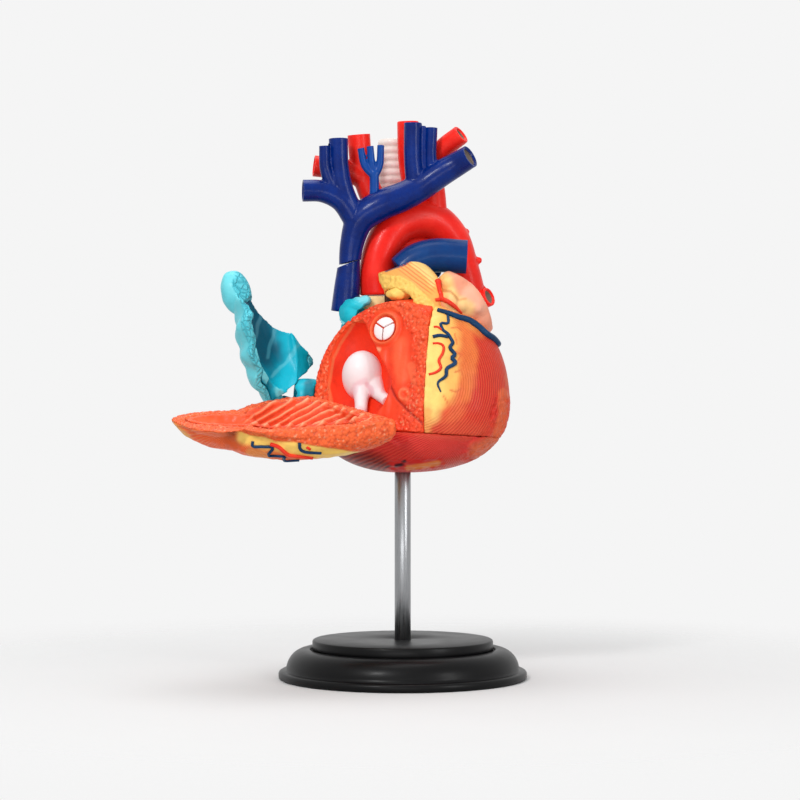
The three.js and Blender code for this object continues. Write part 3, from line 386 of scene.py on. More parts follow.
# %% Spun forms and tubes
def turned(name, profile, middle=(0, 0), sides=96):
    """A closed profile of radius and height, spun about an upright line."""
    points = []
    faces = []
    rings = []
    for radius, height in profile:
        if radius == 0:
            rings.append([len(points)])
            points.append((middle[0], middle[1], height))
            continue
        rings.append(list(range(len(points), len(points) + sides)))
        for i in range(sides):
            angle = 2 * np.pi * i / sides
            across = middle[0] + radius * np.cos(angle)
            away = middle[1] + radius * np.sin(angle)
            points.append((across, away, height))
    for low, high in zip(rings, rings[1:]):
        for i in range(sides):
            j = (i + 1) % sides
            corners = [low[i % len(low)], low[j % len(low)], high[j % len(high)], high[i % len(high)]]
            faces.append(list(dict.fromkeys(corners)))
    return make(name, points, faces)


def smooth_line(stops, per_stop=10):
    """The same centripetal curve as the solids use, through x, y, z and radius at once."""
    stops = np.asarray(stops, float)
    ends = np.vstack([2 * stops[0] - stops[1], stops, 2 * stops[-1] - stops[-2]])
    samples = []
    for a, b, c, d in zip(ends, ends[1:], ends[2:], ends[3:]):
        steps = [max(np.linalg.norm((q - p)[:3]) ** 0.5, 1e-3) for p, q in ((a, b), (b, c), (c, d))]
        before = (b - a) / steps[0] - (c - a) / (steps[0] + steps[1]) + (c - b) / steps[1]
        after = (c - b) / steps[1] - (d - b) / (steps[1] + steps[2]) + (d - c) / steps[2]
        before, after = before * steps[1], after * steps[1]
        for t in np.arange(per_stop) / per_stop:
            bend = -3 * b + 3 * c - 2 * before - after
            samples.append(b + before * t + bend * t ** 2 + (2 * b - 2 * c + before + after) * t ** 3)
    samples.append(stops[-1])
    return np.array(samples)


SHUT = (False, False)


def tube(name, line, sides=32, rims=(True, True), longer=(0, 0)):
    """A tube along samples of x, y, z and radius. A rimmed end is a lip round a sunk disc."""
    places = line[:, :3].copy()
    radii = line[:, 3].copy()
    tangents = np.gradient(places, axis=0)
    tangents /= np.linalg.norm(tangents, axis=1)[:, None]
    places[0] -= tangents[0] * longer[0]
    places[-1] += tangents[-1] * longer[1]
    rings = [(places[i], tangents[i], radii[i]) for i in range(len(places))]
    if rims[0]:
        rings = lip(rings[0], -1)[::-1] + rings[1:]
    if rims[1]:
        rings = rings[:-1] + lip(rings[-1], 1)
    side = np.cross(tangents[0], WORLD[1] if abs(tangents[0][1]) < 0.9 else WORLD[0])
    points = []
    for middle, tangent, radius in rings:
        side = unit(side - tangent * (side @ tangent))
        other = np.cross(tangent, side)
        for i in range(sides):
            angle = 2 * np.pi * i / sides
            points.append(middle + radius * (np.cos(angle) * side + np.sin(angle) * other))
    faces = []
    for ring in range(len(rings) - 1):
        for i in range(sides):
            j = (i + 1) % sides
            a = ring * sides
            faces.append([a + i, a + j, a + sides + j, a + sides + i])
    last = (len(rings) - 1) * sides
    faces.append(list(range(sides))[::-1])
    faces.append([last + i for i in range(sides)])
    made = make(name, points, faces)
    for rim, face in zip(rims, (-2, -1)):
        if rim:
            made.data.polygons[face].material_index = 1
    return made


def lip(ring, way):
    """Rings that round a tube's end, then step in to a sunk disc."""
    middle, tangent, radius = ring
    shape = [(-0.45, 0), (-0.12, 0.12), (0, 0.4), (0, 0.85), (-0.25, 1.0), (-0.8, 1.04)]
    return [(middle + tangent * way * along, tangent, radius - inward) for along, inward in shape]


print("tubes end in a rounded lip round a sunk disc")

# %% [markdown]
# ## Finishing a piece
# A finished piece goes into metres, is shaded smooth, gets its materials, rides on its body and
# stands for the solids that it covers.

# %% Finishing
SKINS = {}


def finished(piece, body, nodes, finishes, skin=None):
    """Finish a piece, and keep its skin under a name where vessels are laid on it later."""
    if skin:
        faces = [tuple(face.vertices) for face in piece.data.polygons]
        SKINS[skin] = BVHTree.FromPolygons([tuple(p) for p in points_of(piece)], faces)
    piece.data.transform(Matrix.Scale(MM, 4))
    piece.data.shade_smooth()
    while len(piece.data.materials) < len(finishes):
        piece.data.materials.append(None)
    for i, finish in enumerate(finishes):
        piece.data.materials[i] = finish.material
    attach(piece, body)
    if nodes:
        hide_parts(*nodes)
    print(piece.name, len(piece.data.polygons), "faces")


print("finished pieces are written in metres, at a scale of", MM)

# %% Painting and marking points
def smoothstep(low, high, value):
    t = np.clip((value - low) / (high - low), 0, 1)
    return t * t * (3 - 2 * t)


def lumps(points, size, seed=0):
    """Smooth noise between -1 and 1 for each point, its bumps about a size in millimetres."""
    shift = Vector((seed * 13.7, seed * 5.1, -seed * 9.3))
    return np.array([noise.noise(Vector(p) / size + shift) for p in points])


def line_distance(places, line):
    """How far places on the grid lie from a line of places."""
    line = np.asarray(line, float)
    best = np.full(len(places), 1e9)
    pairs = list(zip(line, line[1:])) or [(line[0], line[0])]
    for a, b in pairs:
        run = b - a
        t = np.clip((places - a) @ run / max(run @ run, 1e-9), 0, 1)
        best = np.minimum(best, np.linalg.norm(places - a - t[:, None] * run, axis=1))
    return best


def paint(piece, base, strokes, wander=3.0):
    """Airbrush a piece with one colour and then with strokes over it."""
    layer = piece.data.color_attributes.new("paint", "FLOAT_COLOR", "POINT")
    layer.data.foreach_set("color", np.tile((*rgb(base), 1.0), len(layer.data)))
    brush(piece, strokes, wander)


def brush(piece, strokes, wander=0.5):
    """Paint more strokes: each is a line on the grid, a width, a colour and a strength."""
    points = points_of(piece)
    places = on_grid(points) + np.stack([lumps(points, 4, 1), lumps(points, 4, 2)], 1) * wander
    for line, width, colour, strength in strokes:
        near = line_distance(places, line)
        tint(piece, colour, smoothstep(width * 1.5, width * 0.5, near) * strength)


def tint(piece, colour, amount):
    """Blend a colour into a piece's paint by an amount for each point."""
    layer = piece.data.color_attributes["paint"].data
    colours = np.empty(len(layer) * 4)
    layer.foreach_get("color", colours)
    colours = colours.reshape(-1, 4)
    colours[:, :3] += (np.array(rgb(colour)) - colours[:, :3]) * np.asarray(amount)[:, None]
    layer.foreach_set("color", colours.ravel())


def mark(piece, name, values):
    """Give each point a number that a finish reads by name. A piece without it reads as 0."""
    layer = piece.data.attributes.new(name, "FLOAT", "POINT")
    layer.data.foreach_set("value", np.asarray(values, float))


print("paint is laid on by distance on the drawing's grid")

# %% [markdown]
# ## Stage and light
# A plain pale floor fades into a pale background, and soft lamps light the piece from the front
# left, from above, from the right and from low in front. The background's brightness is its own
# colour, seen only by the camera and in reflections, so it puts no extra light on the object.

# %% Floor, background and lamps
BACKDROP = rgb("#f5f5f5")
FLOOR_HALF = 500
FADE_START = 70.0
FADE_END = 280.0


def seen_ray(finish):
    names = ("Is Camera Ray", "Is Glossy Ray", "Is Transmission Ray")
    rays = [finish.node("ShaderNodeLightPath", {}, {}, name) for name in names]
    return rays[0].math("MAXIMUM", rays[0].math("MAXIMUM", rays[0], rays[1]), rays[2])


class WorldFinish(Finish):
    """The same node helpers, on the world."""

    def __init__(self, world):
        world.use_nodes = True
        self.tree = world.node_tree


world = bpy.data.worlds.new("studio")
bpy.context.scene.world = world
sky = WorldFinish(world)
plain_light = sky.tree.nodes["Background"]
plain_light.inputs["Color"].default_value = (1, 1, 1, 1)
plain_light.inputs["Strength"].default_value = 0.4
shown = sky.node("ShaderNodeBackground", {}, {"Color": BACKDROP, "Strength": 1.0})
mixed = sky.node("ShaderNodeMixShader", {}, {
    0: seen_ray(sky), 1: Value(sky, plain_light.outputs[0]), 2: shown})
sky.tree.links.new(mixed.socket, sky.tree.nodes["World Output"].inputs["Surface"])

floor_finish = Finish("floor", {"Roughness": 0.9, "Specular IOR Level": 0.1})
floor_finish.colour(floor_finish.mix(
    floor_finish.noise(60.0), rgb("#e4e4e4"), rgb("#e7e7e7")))
reach = floor_finish.vector("LENGTH", floor_finish.place)
floor_finish.feed(floor_finish.shader.inputs["Alpha"], 1 - reach.ramp(FADE_START, FADE_END))
floor_corners = [(FLOOR_HALF * a, FLOOR_HALF * b, 0) for a, b in ((-1, -1), (1, -1), (1, 1), (-1, 1))]
floor = make("floor", floor_corners, [[0, 1, 2, 3]])
floor.data.transform(Matrix.Scale(MM, 4))
floor.data.materials.append(floor_finish.material)


def lamp(name, place, target, size, power):
    light = bpy.data.lights.new(name, "AREA")
    light.shape = "RECTANGLE"
    light.size, light.size_y = size
    light.energy = power
    made = bpy.data.objects.new(name, light)
    made.location = Vector(place)
    made.rotation_euler = (Vector(target) - Vector(place)).to_track_quat("-Z", "Y").to_euler()
    bpy.context.scene.collection.objects.link(made)


lamp("key", (-0.45, -0.85, 0.75), (0, 0, 0.11), (0.17, 0.24), 5.8)
lamp("fill", (0.75, -0.7, 0.35), (0, 0, 0.11), (0.25, 0.6), 3.3)
lamp("top", (-0.1, 0.1, 0.95), (0, 0, 0.1), (0.6, 0.6), 3.9)
lamp("low", (-0.1, -1.1, 0.04), (0, 0, 0.12), (0.7, 0.2), 1.9)

# %% [markdown]
# ## Stand
# The foot is one satin black moulding with a rolled shoulder, and a plate is let into its top. A
# spun profile gives both, fine enough that the rim reads as a true circle. The rod is steel, drawn
# through a die, so its fine scratches run along it.

# %% Black moulding and steel
black = Finish("black moulding", {
    "Specular IOR Level": 0.13, "Coat Weight": 0.03, "Coat Roughness": 0.15})
black.roughness(black.noise(9.0, 4.0) * 0.14 + 0.3)
black.colour(black.mix(black.noise(2.0, 3.0), rgb("#040405"), rgb("#0a0a0b")))
black.relief(black.noise(0.45, 2.0), 0.03)

steel = Finish("steel", {"Metallic": 1.0})
scratches = steel.noise(1.0, 3.0, steel.stretched((6.0, 6.0, 0.12)))
steel.colour(steel.mix(scratches, rgb("#77787b"), rgb("#a9abad")))
steel.roughness(scratches * 0.2 + 0.2)
steel.relief(scratches, 0.02)


def quarter_round(radius, height, reach, rise, steps=10):
    """A rolled shoulder's profile, from its foot in to its top."""
    angles = np.linspace(0, np.pi / 2, steps)
    return [(radius + reach * np.cos(a), height + rise * np.sin(a)) for a in angles]


def box_between(name, low, high, half_width):
    """An upright box from a low place to a high one, to half a width on both sides."""
    corners = [place + way * half_width for place in (
        low, (high[0], high[1], low[2]), high, (low[0], low[1], high[2])) for way in (-1, 1)]
    return make(name, corners, [
        [0, 2, 4, 6], [7, 5, 3, 1], [0, 1, 3, 2], [2, 3, 5, 4], [4, 5, 7, 6], [6, 7, 1, 0]])


RIB_COUNT = 6
RIB_INNER = 5.5
RIB_OUTER = 37.5
RIB_HALF_WIDTH = 0.9
ROD_RADIUS = 3
ROD_TOP = 88.6
ROD_ROOM = 0.3

foot = turned("foot", [
    (0, 0), (6.5, 0), (6.5, 7.8), (36, 7.8), (40.9, 3), (41, 0), (45.2, 0), (45.7, 0.25), (46, 0.8),
    (46, 2.1), (45.75, 2.65), (45.2, 3), (43.6, 3.1), *quarter_round(36, 3.2, 7.2, 7.8),
    (34.7, 11), (34.4, 10.8), (34.3, 10.2), (34.3, 10), (0, 10)], sides=144)
ribs = []
for i in range(RIB_COUNT):
    angle = 2 * np.pi * i / RIB_COUNT
    out = np.array([np.cos(angle), np.sin(angle), 0])
    across = np.array([-out[1], out[0], 0])
    low = out * RIB_INNER + (0, 0, 0.3)
    high = out * RIB_OUTER + (0, 0, 8.5)
    ribs.append(box_between("rib", low, high, across * RIB_HALF_WIDTH))
foot = joined("foot", [foot, *ribs])
finished(foot, "stand", ["base_shell"], [black])
plate = turned("plate", [
    (0, 10.3), (33.4, 10.3), (33.5, 10.5), (33.5, 13.7), (33.3, 14.15), (32.9, 14.4), (3.5, 14.4),
    (3.3, 14.2), (0, 14.2)], sides=144)
finished(plate, "stand", ["base_top_disc"], [black])
rod = turned("rod", [
    (0, 3.1), (2.4, 3.1), (ROD_RADIUS, 3.7), (ROD_RADIUS, 88), (2.4, ROD_TOP), (0, ROD_TOP)],
    sides=48)
finished(rod, "stand", ["support_rod"], [steel])
for pin in ("ventricle_hinge_pin", "atrium_hinge_pin"):
    pin_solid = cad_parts[pin]
    pin_solid.data.materials.clear()
    pin_solid.data.materials.append(steel.material)

# %% [markdown]
# ## Vessels
# The vessels are moulded tubes, brushed with glossy red or navy paint and sawn square, so each
# end is a bare grey-brown disc inside a painted lip. Where veins meet, the real moulding flows
# from one into the next. Tubes that meet are joined by a voxel remesh and smoothed, and their
# ends are sawn afterwards to stay crisp.

# %% Glossy paints
def gloss_paint(name, dark, light, roughness):
    """Brushed gloss: a slight change of depth, soft orange peel and a clear top coat."""
    made = Finish(name, {"Coat Weight": 0.05, "Coat Roughness": 0.1, "Specular IOR Level": 0.16})
    brushed = made.noise(7.0, 3.0) * 0.7 + made.noise(1.1, 3.0) * 0.3
    made.colour(made.mix(brushed.ramp(0.25, 0.75), rgb(dark), rgb(light)))
    made.roughness(made.noise(3.0, 3.0) * 0.16 + roughness)
    made.relief(made.noise(2.2, 2.0) + made.noise(0.7) * 0.25, 0.09)
    return made


artery_paint = gloss_paint("artery red", "#f01c14", "#ff3226", 0.24)
vein_paint = gloss_paint("vein navy", "#001a60", "#002a7c", 0.2)
lung_artery_paint = gloss_paint("lung artery blue", "#002f6a", "#003c7a", 0.3)
thyroid_paint = gloss_paint("thyroid blue", "#083a88", "#0e4a9c", 0.22)
sawn = Finish("sawn end", {"Roughness": 0.75})
sawn.colour(sawn.mix(sawn.noise(1.2, 4.0), rgb("#58483c"), rgb("#7d6c5c")))
sawn.relief(sawn.noise(0.5, 3.0), 0.08)

# %% Tubes that flow into each other
SAW_BEFORE = -1.5
SAW_BEYOND = 9


def sawn_end(shape, place, outward, radius):
    """Saw a tube square at a place, round the edge and sink the bare disc inside a lip."""
    place, outward = Vector(place), Vector(unit(outward))

    def near(v):
        along = (v.co - place).dot(outward)
        aside = (v.co - place - outward * along).length
        return SAW_BEFORE < along < SAW_BEYOND and aside < radius * 1.1 + 0.1

    verts = {v for v in shape.verts if near(v)}
    faces = [f for f in shape.faces if any(v in verts for v in f.verts)]
    edges = {e for f in faces for e in f.edges}
    cut = bmesh.ops.bisect_plane(
        shape, geom=list({v for f in faces for v in f.verts}) + list(edges) + faces,
        plane_co=place, plane_no=outward)
    beyond = [v for v in shape.verts if v.is_valid and near(v) and (v.co - place).dot(outward) > 1e-4]
    bmesh.ops.delete(shape, geom=beyond, context="VERTS")
    rim = [e for e in cut["geom_cut"] if isinstance(e, bmesh.types.BMEdge) and e.is_valid]
    filled = bmesh.ops.contextual_create(shape, geom=rim)["faces"]
    for thickness, depth in ((0.14, 0.0), (0.5, 0.0), (0.12, -0.9)):
        bmesh.ops.inset_region(shape, faces=filled, thickness=thickness, depth=depth)
    for face in filled:
        face.material_index = 1


SHRINKAGE = 0.22
OVERLENGTH = 1.0
# Which ends of a tube are open: its first, its last, or neither, which is SHUT.
FIRST = (True, False)
LAST = (False, True)


def flowing(name, routes, voxel=0.4, passes=5, seams=()):
    """Join overlapping tubes, smooth their meetings, then saw the ends that are open.

    Each route is its stops and two flags, whether its first and its last end are open. Smoothing
    takes a little off a tube's radius, so the tubes start thicker by that much. A seam parts the
    form before its ends are sawn.
    """
    lines = [(smooth_line(stops), open_ends) for stops, open_ends in routes]
    tubes = []
    for line, open_ends in lines:
        over = [OVERLENGTH * is_open for is_open in open_ends]
        thicker = line + np.array([0, 0, 0, SHRINKAGE])
        tubes.append(tube("part", thicker, rims=SHUT, longer=over))
    made = evened(joined(name, tubes), voxel, passes)
    for seam in seams:
        trimmed(made, seam)
    shape = bmesh.new()
    shape.from_mesh(made.data)
    for line, open_ends in lines:
        if open_ends[0]:
            sawn_end(shape, line[0][:3], line[0][:3] - line[1][:3], line[0][3])
        if open_ends[1]:
            sawn_end(shape, line[-1][:3], line[-1][:3] - line[-2][:3], line[-1][3])
    shape.to_mesh(made.data)
    shape.free()
    return made


print("open ends are sawn after the smoothing")

# %% The veins above the seam
CAVA_SEAM = ((-0.22, 0, 0.975), (-16, 10.4, 155.8))
upper_veins = flowing("upper_veins", [
    ([(-20.2, 10.2, 150, 3.6), (-19, 9.8, 162, 4.3), (-15.7, 9, 171, 5.2), (-8.5, 8.6, 176, 5.5),
      (-0.3, 9.4, 179.4, 5.3), (6.4, 10, 182.9, 5), (13.9, 9.6, 187.9, 4.8),
      (20.2, 8.6, 191.5, 4.4), (25.2, 6, 194.2, 4.1)], LAST),
    ([(-24.1, 8, 201, 3.4), (-23.8, 8, 191, 3.4), (-22.4, 8, 182, 3.8),
      (-17.6, 8.8, 170, 4.2)], FIRST),
    ([(-29.3, 5.1, 198, 1.7), (-28.8, 5.6, 189, 1.9), (-24.5, 7.4, 179, 2.4)], FIRST),
    ([(-37.3, 6, 181.4, 3.9), (-30, 7, 181.2, 3.9), (-23, 7.8, 178, 4.1),
      (-17.4, 8.8, 170, 4.2)], FIRST),
    ([(3.8, 8.8, 207, 3.1), (3.8, 9, 194, 3.1), (5, 9.6, 182, 3.5)], FIRST),
    ([(10.9, 9.4, 205.3, 2), (10.5, 9.4, 194, 2), (11.2, 9.4, 185, 2.2)], FIRST),
    ([(7.6, 9.2, 205.5, 0.7), (7.8, 9.2, 194, 0.8), (8.2, 9.4, 184, 1)], FIRST),
], voxel=0.35, seams=[CAVA_SEAM])
finished(upper_veins, "heart", ["great_veins"], [vein_paint, sawn])

# %% The vein below the seam, and the small ones
CAVA_LOWER_SEAM = ((-0.33, 0, 0.944), (-16, 10.4, 155.8))
lower_cava = tube("lower_cava", smooth_line([
    (-19.8, 10.2, 160, 4), (-20.4, 10.6, 152, 4.3), (-20.9, 11.2, 146, 4.8),
    (-21.6, 12.2, 136.6, 5.4)]), rims=SHUT)
trimmed(lower_cava, CAVA_LOWER_SEAM, side=-1)
finished(lower_cava, "heart", ["superior_vena_cava"], [vein_paint])

lower_body_vein = tube("lower_body_vein", smooth_line([
    (-19, 21, 108, 5.4), (-20, 24, 98, 5.2), (-20.5, 25, 86, 5)]), rims=LAST)
finished(lower_body_vein, "heart", ["inferior_vena_cava"], [vein_paint, sawn])

thyroid = flowing("thyroid_veins_fine", [
    ([(-10.6, 8.2, 176, 1.6), (-10.6, 8, 182, 1.6), (-10.6, 8, 188.6, 1.5)], SHUT),
    ([(-10.6, 8, 187, 1.3), (-14.2, 8, 191, 1.2), (-15.7, 8, 197.4, 1.1)], LAST),
    ([(-10.6, 8, 187, 1.3), (-11.6, 8, 192, 1.2), (-12.2, 8, 198.2, 1.1)], LAST),
    ([(-10.6, 8, 187, 1.3), (-8.7, 8, 191, 1.2), (-8.2, 8, 198.6, 1.1)], LAST),
], voxel=0.28, passes=4)
finished(thyroid, "heart", ["thyroid_veins"], [thyroid_paint, sawn])

# %% The arteries
ARCH = smooth_line([
    (-9.8, 15, 142.8, 6.4), (-9.9, 15, 152, 6.5), (-7.2, 16, 162.4, 6.7), (-2, 18, 169.4, 7.1),
    (5, 20.5, 172.3, 7.3), (12, 23, 171.3, 7.2), (18.6, 26, 165, 6.9), (22.4, 28.5, 155, 6.6),
    (25.4, 30, 143, 6.5), (26, 30, 129, 6.3)])
RIB_STUBS = [(24.3, 27, 167.8), (29.2, 28.5, 157), (30.9, 29.5, 146)]
arch_parts = [tube("arch", ARCH, 48, rims=SHUT)]
arch_parts += [ellipsoid("stub", p, WORLD, (1.4, 1.4, 1.4), detail=3) for p in RIB_STUBS]
arch_parts.append(ellipsoid("web", (4, 23, 158), WORLD, (10, 2.2, 12)))
arch = evened(joined("arch", arch_parts), 0.45, 4)
finished(arch, "heart", ["aortic_arch"], [artery_paint])

right_artery = flowing("right_artery", [
    ([(-4.6, 18, 166, 4.6), (-7.6, 18, 174, 4.8), (-12.2, 17.6, 182, 4.5),
      (-15.6, 17, 192.5, 4.1), (-16.6, 16, 203.6, 4.1)], LAST),
    ([(-14.5, 17, 187, 3.8), (-22, 15.6, 190.2, 3.8), (-33.5, 14, 191.6, 3.8)], LAST)])
finished(right_artery, "heart", ["brachiocephalic_artery"], [artery_paint, sawn])
carotid = tube("carotid", smooth_line([
    (5, 20, 168, 4.2), (4.4, 19.4, 182, 4.2), (2.4, 18, 194.5, 4.1), (2, 17, 208.8, 4.1)]),
    rims=LAST)
finished(carotid, "heart", ["left_carotid_artery"], [artery_paint, sawn])
arm_artery = tube("arm_artery", smooth_line([
    (13.4, 23.4, 167, 4.2), (12.4, 21.6, 180, 4.1), (11.6, 19.2, 189.5, 4), (14.6, 16.4, 197.3, 3.9),
    (22.2, 12.5, 203.4, 3.7)]), rims=LAST)
finished(arm_artery, "heart", ["left_subclavian_artery"], [artery_paint, sawn])

lung_artery = flowing("lung_artery", [
    ([(-0.5, 6.4, 151, 6), (5, 6.8, 155.2, 6.2), (12, 7, 157.2, 6.2), (24, 7, 156.7, 6.1)], LAST),
    ([(11, 12, 153.4, 4.6), (6, 20, 152, 4.6), (-2, 25, 151.4, 4.5), (-12, 26, 150.8, 4.4),
      (-23, 25, 149.6, 4.2)], LAST)])
finished(lung_artery, "heart", ["pulmonary_artery"], [lung_artery_paint, sawn])

LUNG_VEINS = {
    "left_upper": [(20, 17, 135, 3.6), (27, 12.6, 139.6, 3.6), (32.6, 8.8, 142, 3.6)],
    "left_lower": [(20, 25, 124, 3.6), (28, 27, 121, 3.5), (35, 28, 119.6, 3.5)],
    "right_upper": [(-6, 26, 132, 3.5), (-14, 31, 135, 3.4), (-21, 34, 137, 3.4)],
    "right_lower": [(-6, 28, 123, 3.5), (-14, 33.5, 122, 3.4), (-20.5, 37, 121.6, 3.4)],
}
for place, stops in LUNG_VEINS.items():
    stub = tube(place + "_stub", smooth_line(stops), rims=LAST)
    finished(stub, "heart", [place + "_pulmonary_vein"], [artery_paint, sawn])

# %% [markdown]
# ## Windpipe
# A pale tube with horseshoe rings of cartilage. The real rings are soft swellings with a shallow
# valley between them, so the spun profile has rounded tops and is smoothed after the remesh.

# %% The windpipe
RING_PITCH = 2.85
RING_COUNT = 16
RING_SWELL = 0.45
RING_STEPS = 8
PIPE_FOOT = 158
PIPE_TOP = 203.6
PIPE_RADIUS = 5.5
cartilage = Finish("cartilage", {"Coat Weight": 0.05, "Specular IOR Level": 0.25})
height = cartilage.node("ShaderNodeSeparateXYZ", {}, {0: cartilage.place}, 2)
# Painted shade in the valleys between the rings and painted light on their crests.
ring_shade = ((height - PIPE_FOOT) * (2 * np.pi / RING_PITCH) - np.pi / 2).wave() ** 0.5
cartilage.colour(cartilage.mix(
    ring_shade * 0.7 + cartilage.noise(3.0, 3.0) * 0.3, rgb("#d9d0c6"), rgb("#faf6f0")))
cartilage.roughness(cartilage.noise(2.0) * 0.2 + 0.34)
cartilage.relief(cartilage.noise(0.8, 3.0), 0.06)

pipe_profile = [(0, PIPE_FOOT)]
for ring in range(RING_COUNT):
    for step in np.arange(RING_STEPS) / RING_STEPS:
        swell = 0.5 - 0.5 * np.cos(2 * np.pi * step)
        pipe_profile.append(
            (PIPE_RADIUS + RING_SWELL * swell ** 0.5, PIPE_FOOT + (ring + step) * RING_PITCH))
pipe_profile += [
    (PIPE_RADIUS, PIPE_TOP), (PIPE_RADIUS - 0.7, PIPE_TOP), (PIPE_RADIUS - 0.8, PIPE_TOP - 1.2),
    (0, PIPE_TOP - 1.2)]
pipe = turned("pipe", pipe_profile, (-3.6, 31), 64)
bronchi = [
    tube("bronchus", smooth_line(stops), rims=SHUT)
    for stops in ([(-4, 31, 162, 4.8), (-9, 32, 156, 4.4), (-16, 33.4, 151, 4.2)],
                  [(-4, 31, 162, 4.8), (0.5, 33, 156.6, 4.3), (6.5, 35.4, 152.6, 4.2)])]
windpipe = evened(joined("windpipe", [pipe, *bronchi]), 0.35, 1)
finished(windpipe, "heart", ["trachea"], [cartilage])

# %% [markdown]
# ## The ventricles' form and the planes that part it
# The real heart is moulded as one egg-like body and sawn into pieces, so all its cuts are flat.
# The egg is a squared-off ovoid that leans back at the top. Each plane is a normal and a point.

# %% The egg and its planes
HEART_CENTRE = np.array([4.3, -5, 102])
HALVES_OVER = np.array([35.2, 29, 38.6])
HALVES_UNDER = np.array([37.6, 21, 25.2])
SQUARENESS = 2.33
LEAN = Matrix.Rotation(np.radians(-10.5), 3, "X") @ Matrix.Rotation(np.radians(-3), 3, "Y")
UNLEAN = np.array(LEAN.inverted())

SECTION = ((-0.508, -0.814, 0.267), (10, -30, 88))
GROOVE = ((-0.98, 0.2, 0.008), (7.2, -27.2, 91))
SEAM = ((-0.06, 0, -1), (0.4, -25, 91.4))
SEPTUM = ((-0.774, 0.302, -0.55), (-12.6, -2.4, 129.1))
SECTION_NORMAL = unit(SECTION[0])
SLAB = 11

HINGE_POINT = np.array([-17.7, -16.3, 95.6])
HINGE_AXIS = unit((0.627, -0.701, -0.34))
HINGE_UP = -unit(np.cross(HINGE_AXIS, SECTION_NORMAL))
HINGE_OUT = np.cross(HINGE_AXIS, HINGE_UP)


def margin_normal(degrees):
    """A plane's direction through the front hinge, leaned by some degrees."""
    angle = np.radians(degrees)
    return -np.sin(angle) * HINGE_UP + np.cos(angle) * HINGE_OUT


MARGIN = (HINGE_UP, HINGE_POINT)
MARGIN_ABOVE = (margin_normal(40), HINGE_POINT)
MARGIN_BELOW = (margin_normal(-15), HINGE_POINT)


def ventricle_radius(directions):
    turned_back = directions @ UNLEAN.T
    halves = np.where(turned_back > 0, HALVES_OVER, HALVES_UNDER)
    return ((np.abs(turned_back) / halves) ** SQUARENESS).sum(1) ** (-1 / SQUARENESS)


def ventricles(grow=0.0, detail=7):
    return star("ventricles", HEART_CENTRE, lambda d: ventricle_radius(d) + grow, detail)


def depth_in_egg(points):
    """How deep points lie under the egg's skin, towards its middle."""
    away = points - HEART_CENTRE
    reach = np.linalg.norm(away, axis=1)
    return ventricle_radius(away / reach[:, None]) - reach


def height_over(plane, points):
    return (points - np.asarray(plane[1], float)) @ unit(plane[0])


BARREL_RADIUS = 2.4
BARREL_ROOM = 2.7
PIN_ROOM = 1.3
WALL_GAP = 0.15


def bar(name, point, axis, low, high, radius):
    """A round bar between two distances along an axis."""
    ends = [np.append(np.asarray(point) + unit(axis) * at, radius) for at in (low, high)]
    return tube(name, np.array(ends), rims=SHUT)


def hinged(piece, hinge, spans, radius, operation="DIFFERENCE"):
    """Add or cut round bars along a hinge line, one for each span."""
    for low, high in spans:
        carved(piece, bar("knuckle", *hinge, low, high, radius), operation)


print("section faces", tuple(np.round(SECTION_NORMAL, 3)))

# %% [markdown]
# ## Painted muscle
# The muscle is orange-red paint on plastic. Outside, fine moulded ridges follow the fibres round
# the wall, and lighter paint sits on their crests. Cut faces are pebbled. The broad colours are
# airbrushed into a vertex colour layer. The ridges are waves of the distance from a point that the
# fibres seem to turn round, so they curve over the wall as the real ones do.

# %% Muscle finishes
def painted(name, roughness):
    made = Finish(name, {"Coat Weight": 0.05, "Coat Roughness": 0.15, "Specular IOR Level": 0.18})
    made.roughness(made.noise(2.5, 3.0) * 0.2 + roughness)
    return made


def muscle(name, middle=(0, 0, 0), pitch=1.1, crest="#f6a255", fan=False, pebble=1.25):
    """Ridges at a pitch round a middle, or fanning out of it, and pebbles where a piece has them."""
    made = painted(name, 0.34)
    away = made.vector("SUBTRACT", made.place, tuple(middle))
    warp = made.noise(9.0, 2.0) * 7.0 + made.noise(2.5, 2.0) * 1.4
    if fan:
        parts = [made.node("ShaderNodeSeparateXYZ", {}, {0: away}, i) for i in (0, 2)]
        run = parts[0].math("ARCTAN2", parts[0], parts[1] * -1.0) * (2 * np.pi / pitch)
    else:
        run = made.vector("LENGTH", away) * (2 * np.pi / pitch)
    ridge = (run + warp).wave()
    fibres = made.attribute("fibres")
    stones = made.cells(pebble) ** 1.5
    stony = made.attribute("pebbles")
    wear = made.noise(3.0, 4.0).ramp(0.35, 0.75) * 0.14
    worn = made.mix(wear, made.attribute("paint", "Color"), rgb("#a01c12"))
    lined = made.mix((ridge ** 1.5) * fibres * 0.32, worn, rgb(crest))
    made.colour(made.mix(stones.ramp(0.2, 0.9) * stony * 0.4, lined, rgb("#b5240f")))
    made.relief(ridge * fibres * 0.6 + stony * (1 - stones) * 1.6 + made.noise(1.3, 3.0) * 0.5, 0.3)
    return made


wall_fibres = muscle("wall fibres", (4, -22, 109), 0.86, "#ee7c44")
shell_fibres = muscle("shell fibres", (26, -20, 98), 0.034, "#e2573a", fan=True)
outer_fibres = muscle("outer fibres", (-60, -30, 92), 0.085, "#f6a45a", fan=True)
cut_muscle = muscle("cut muscle")

# %% [markdown]
# ## Left wall and lower shell
# The wall right of the groove is yellow with fat by the groove and deep red where it bulges. The
# shell below the seam is a darker red, with its fibres fanning down from the right.

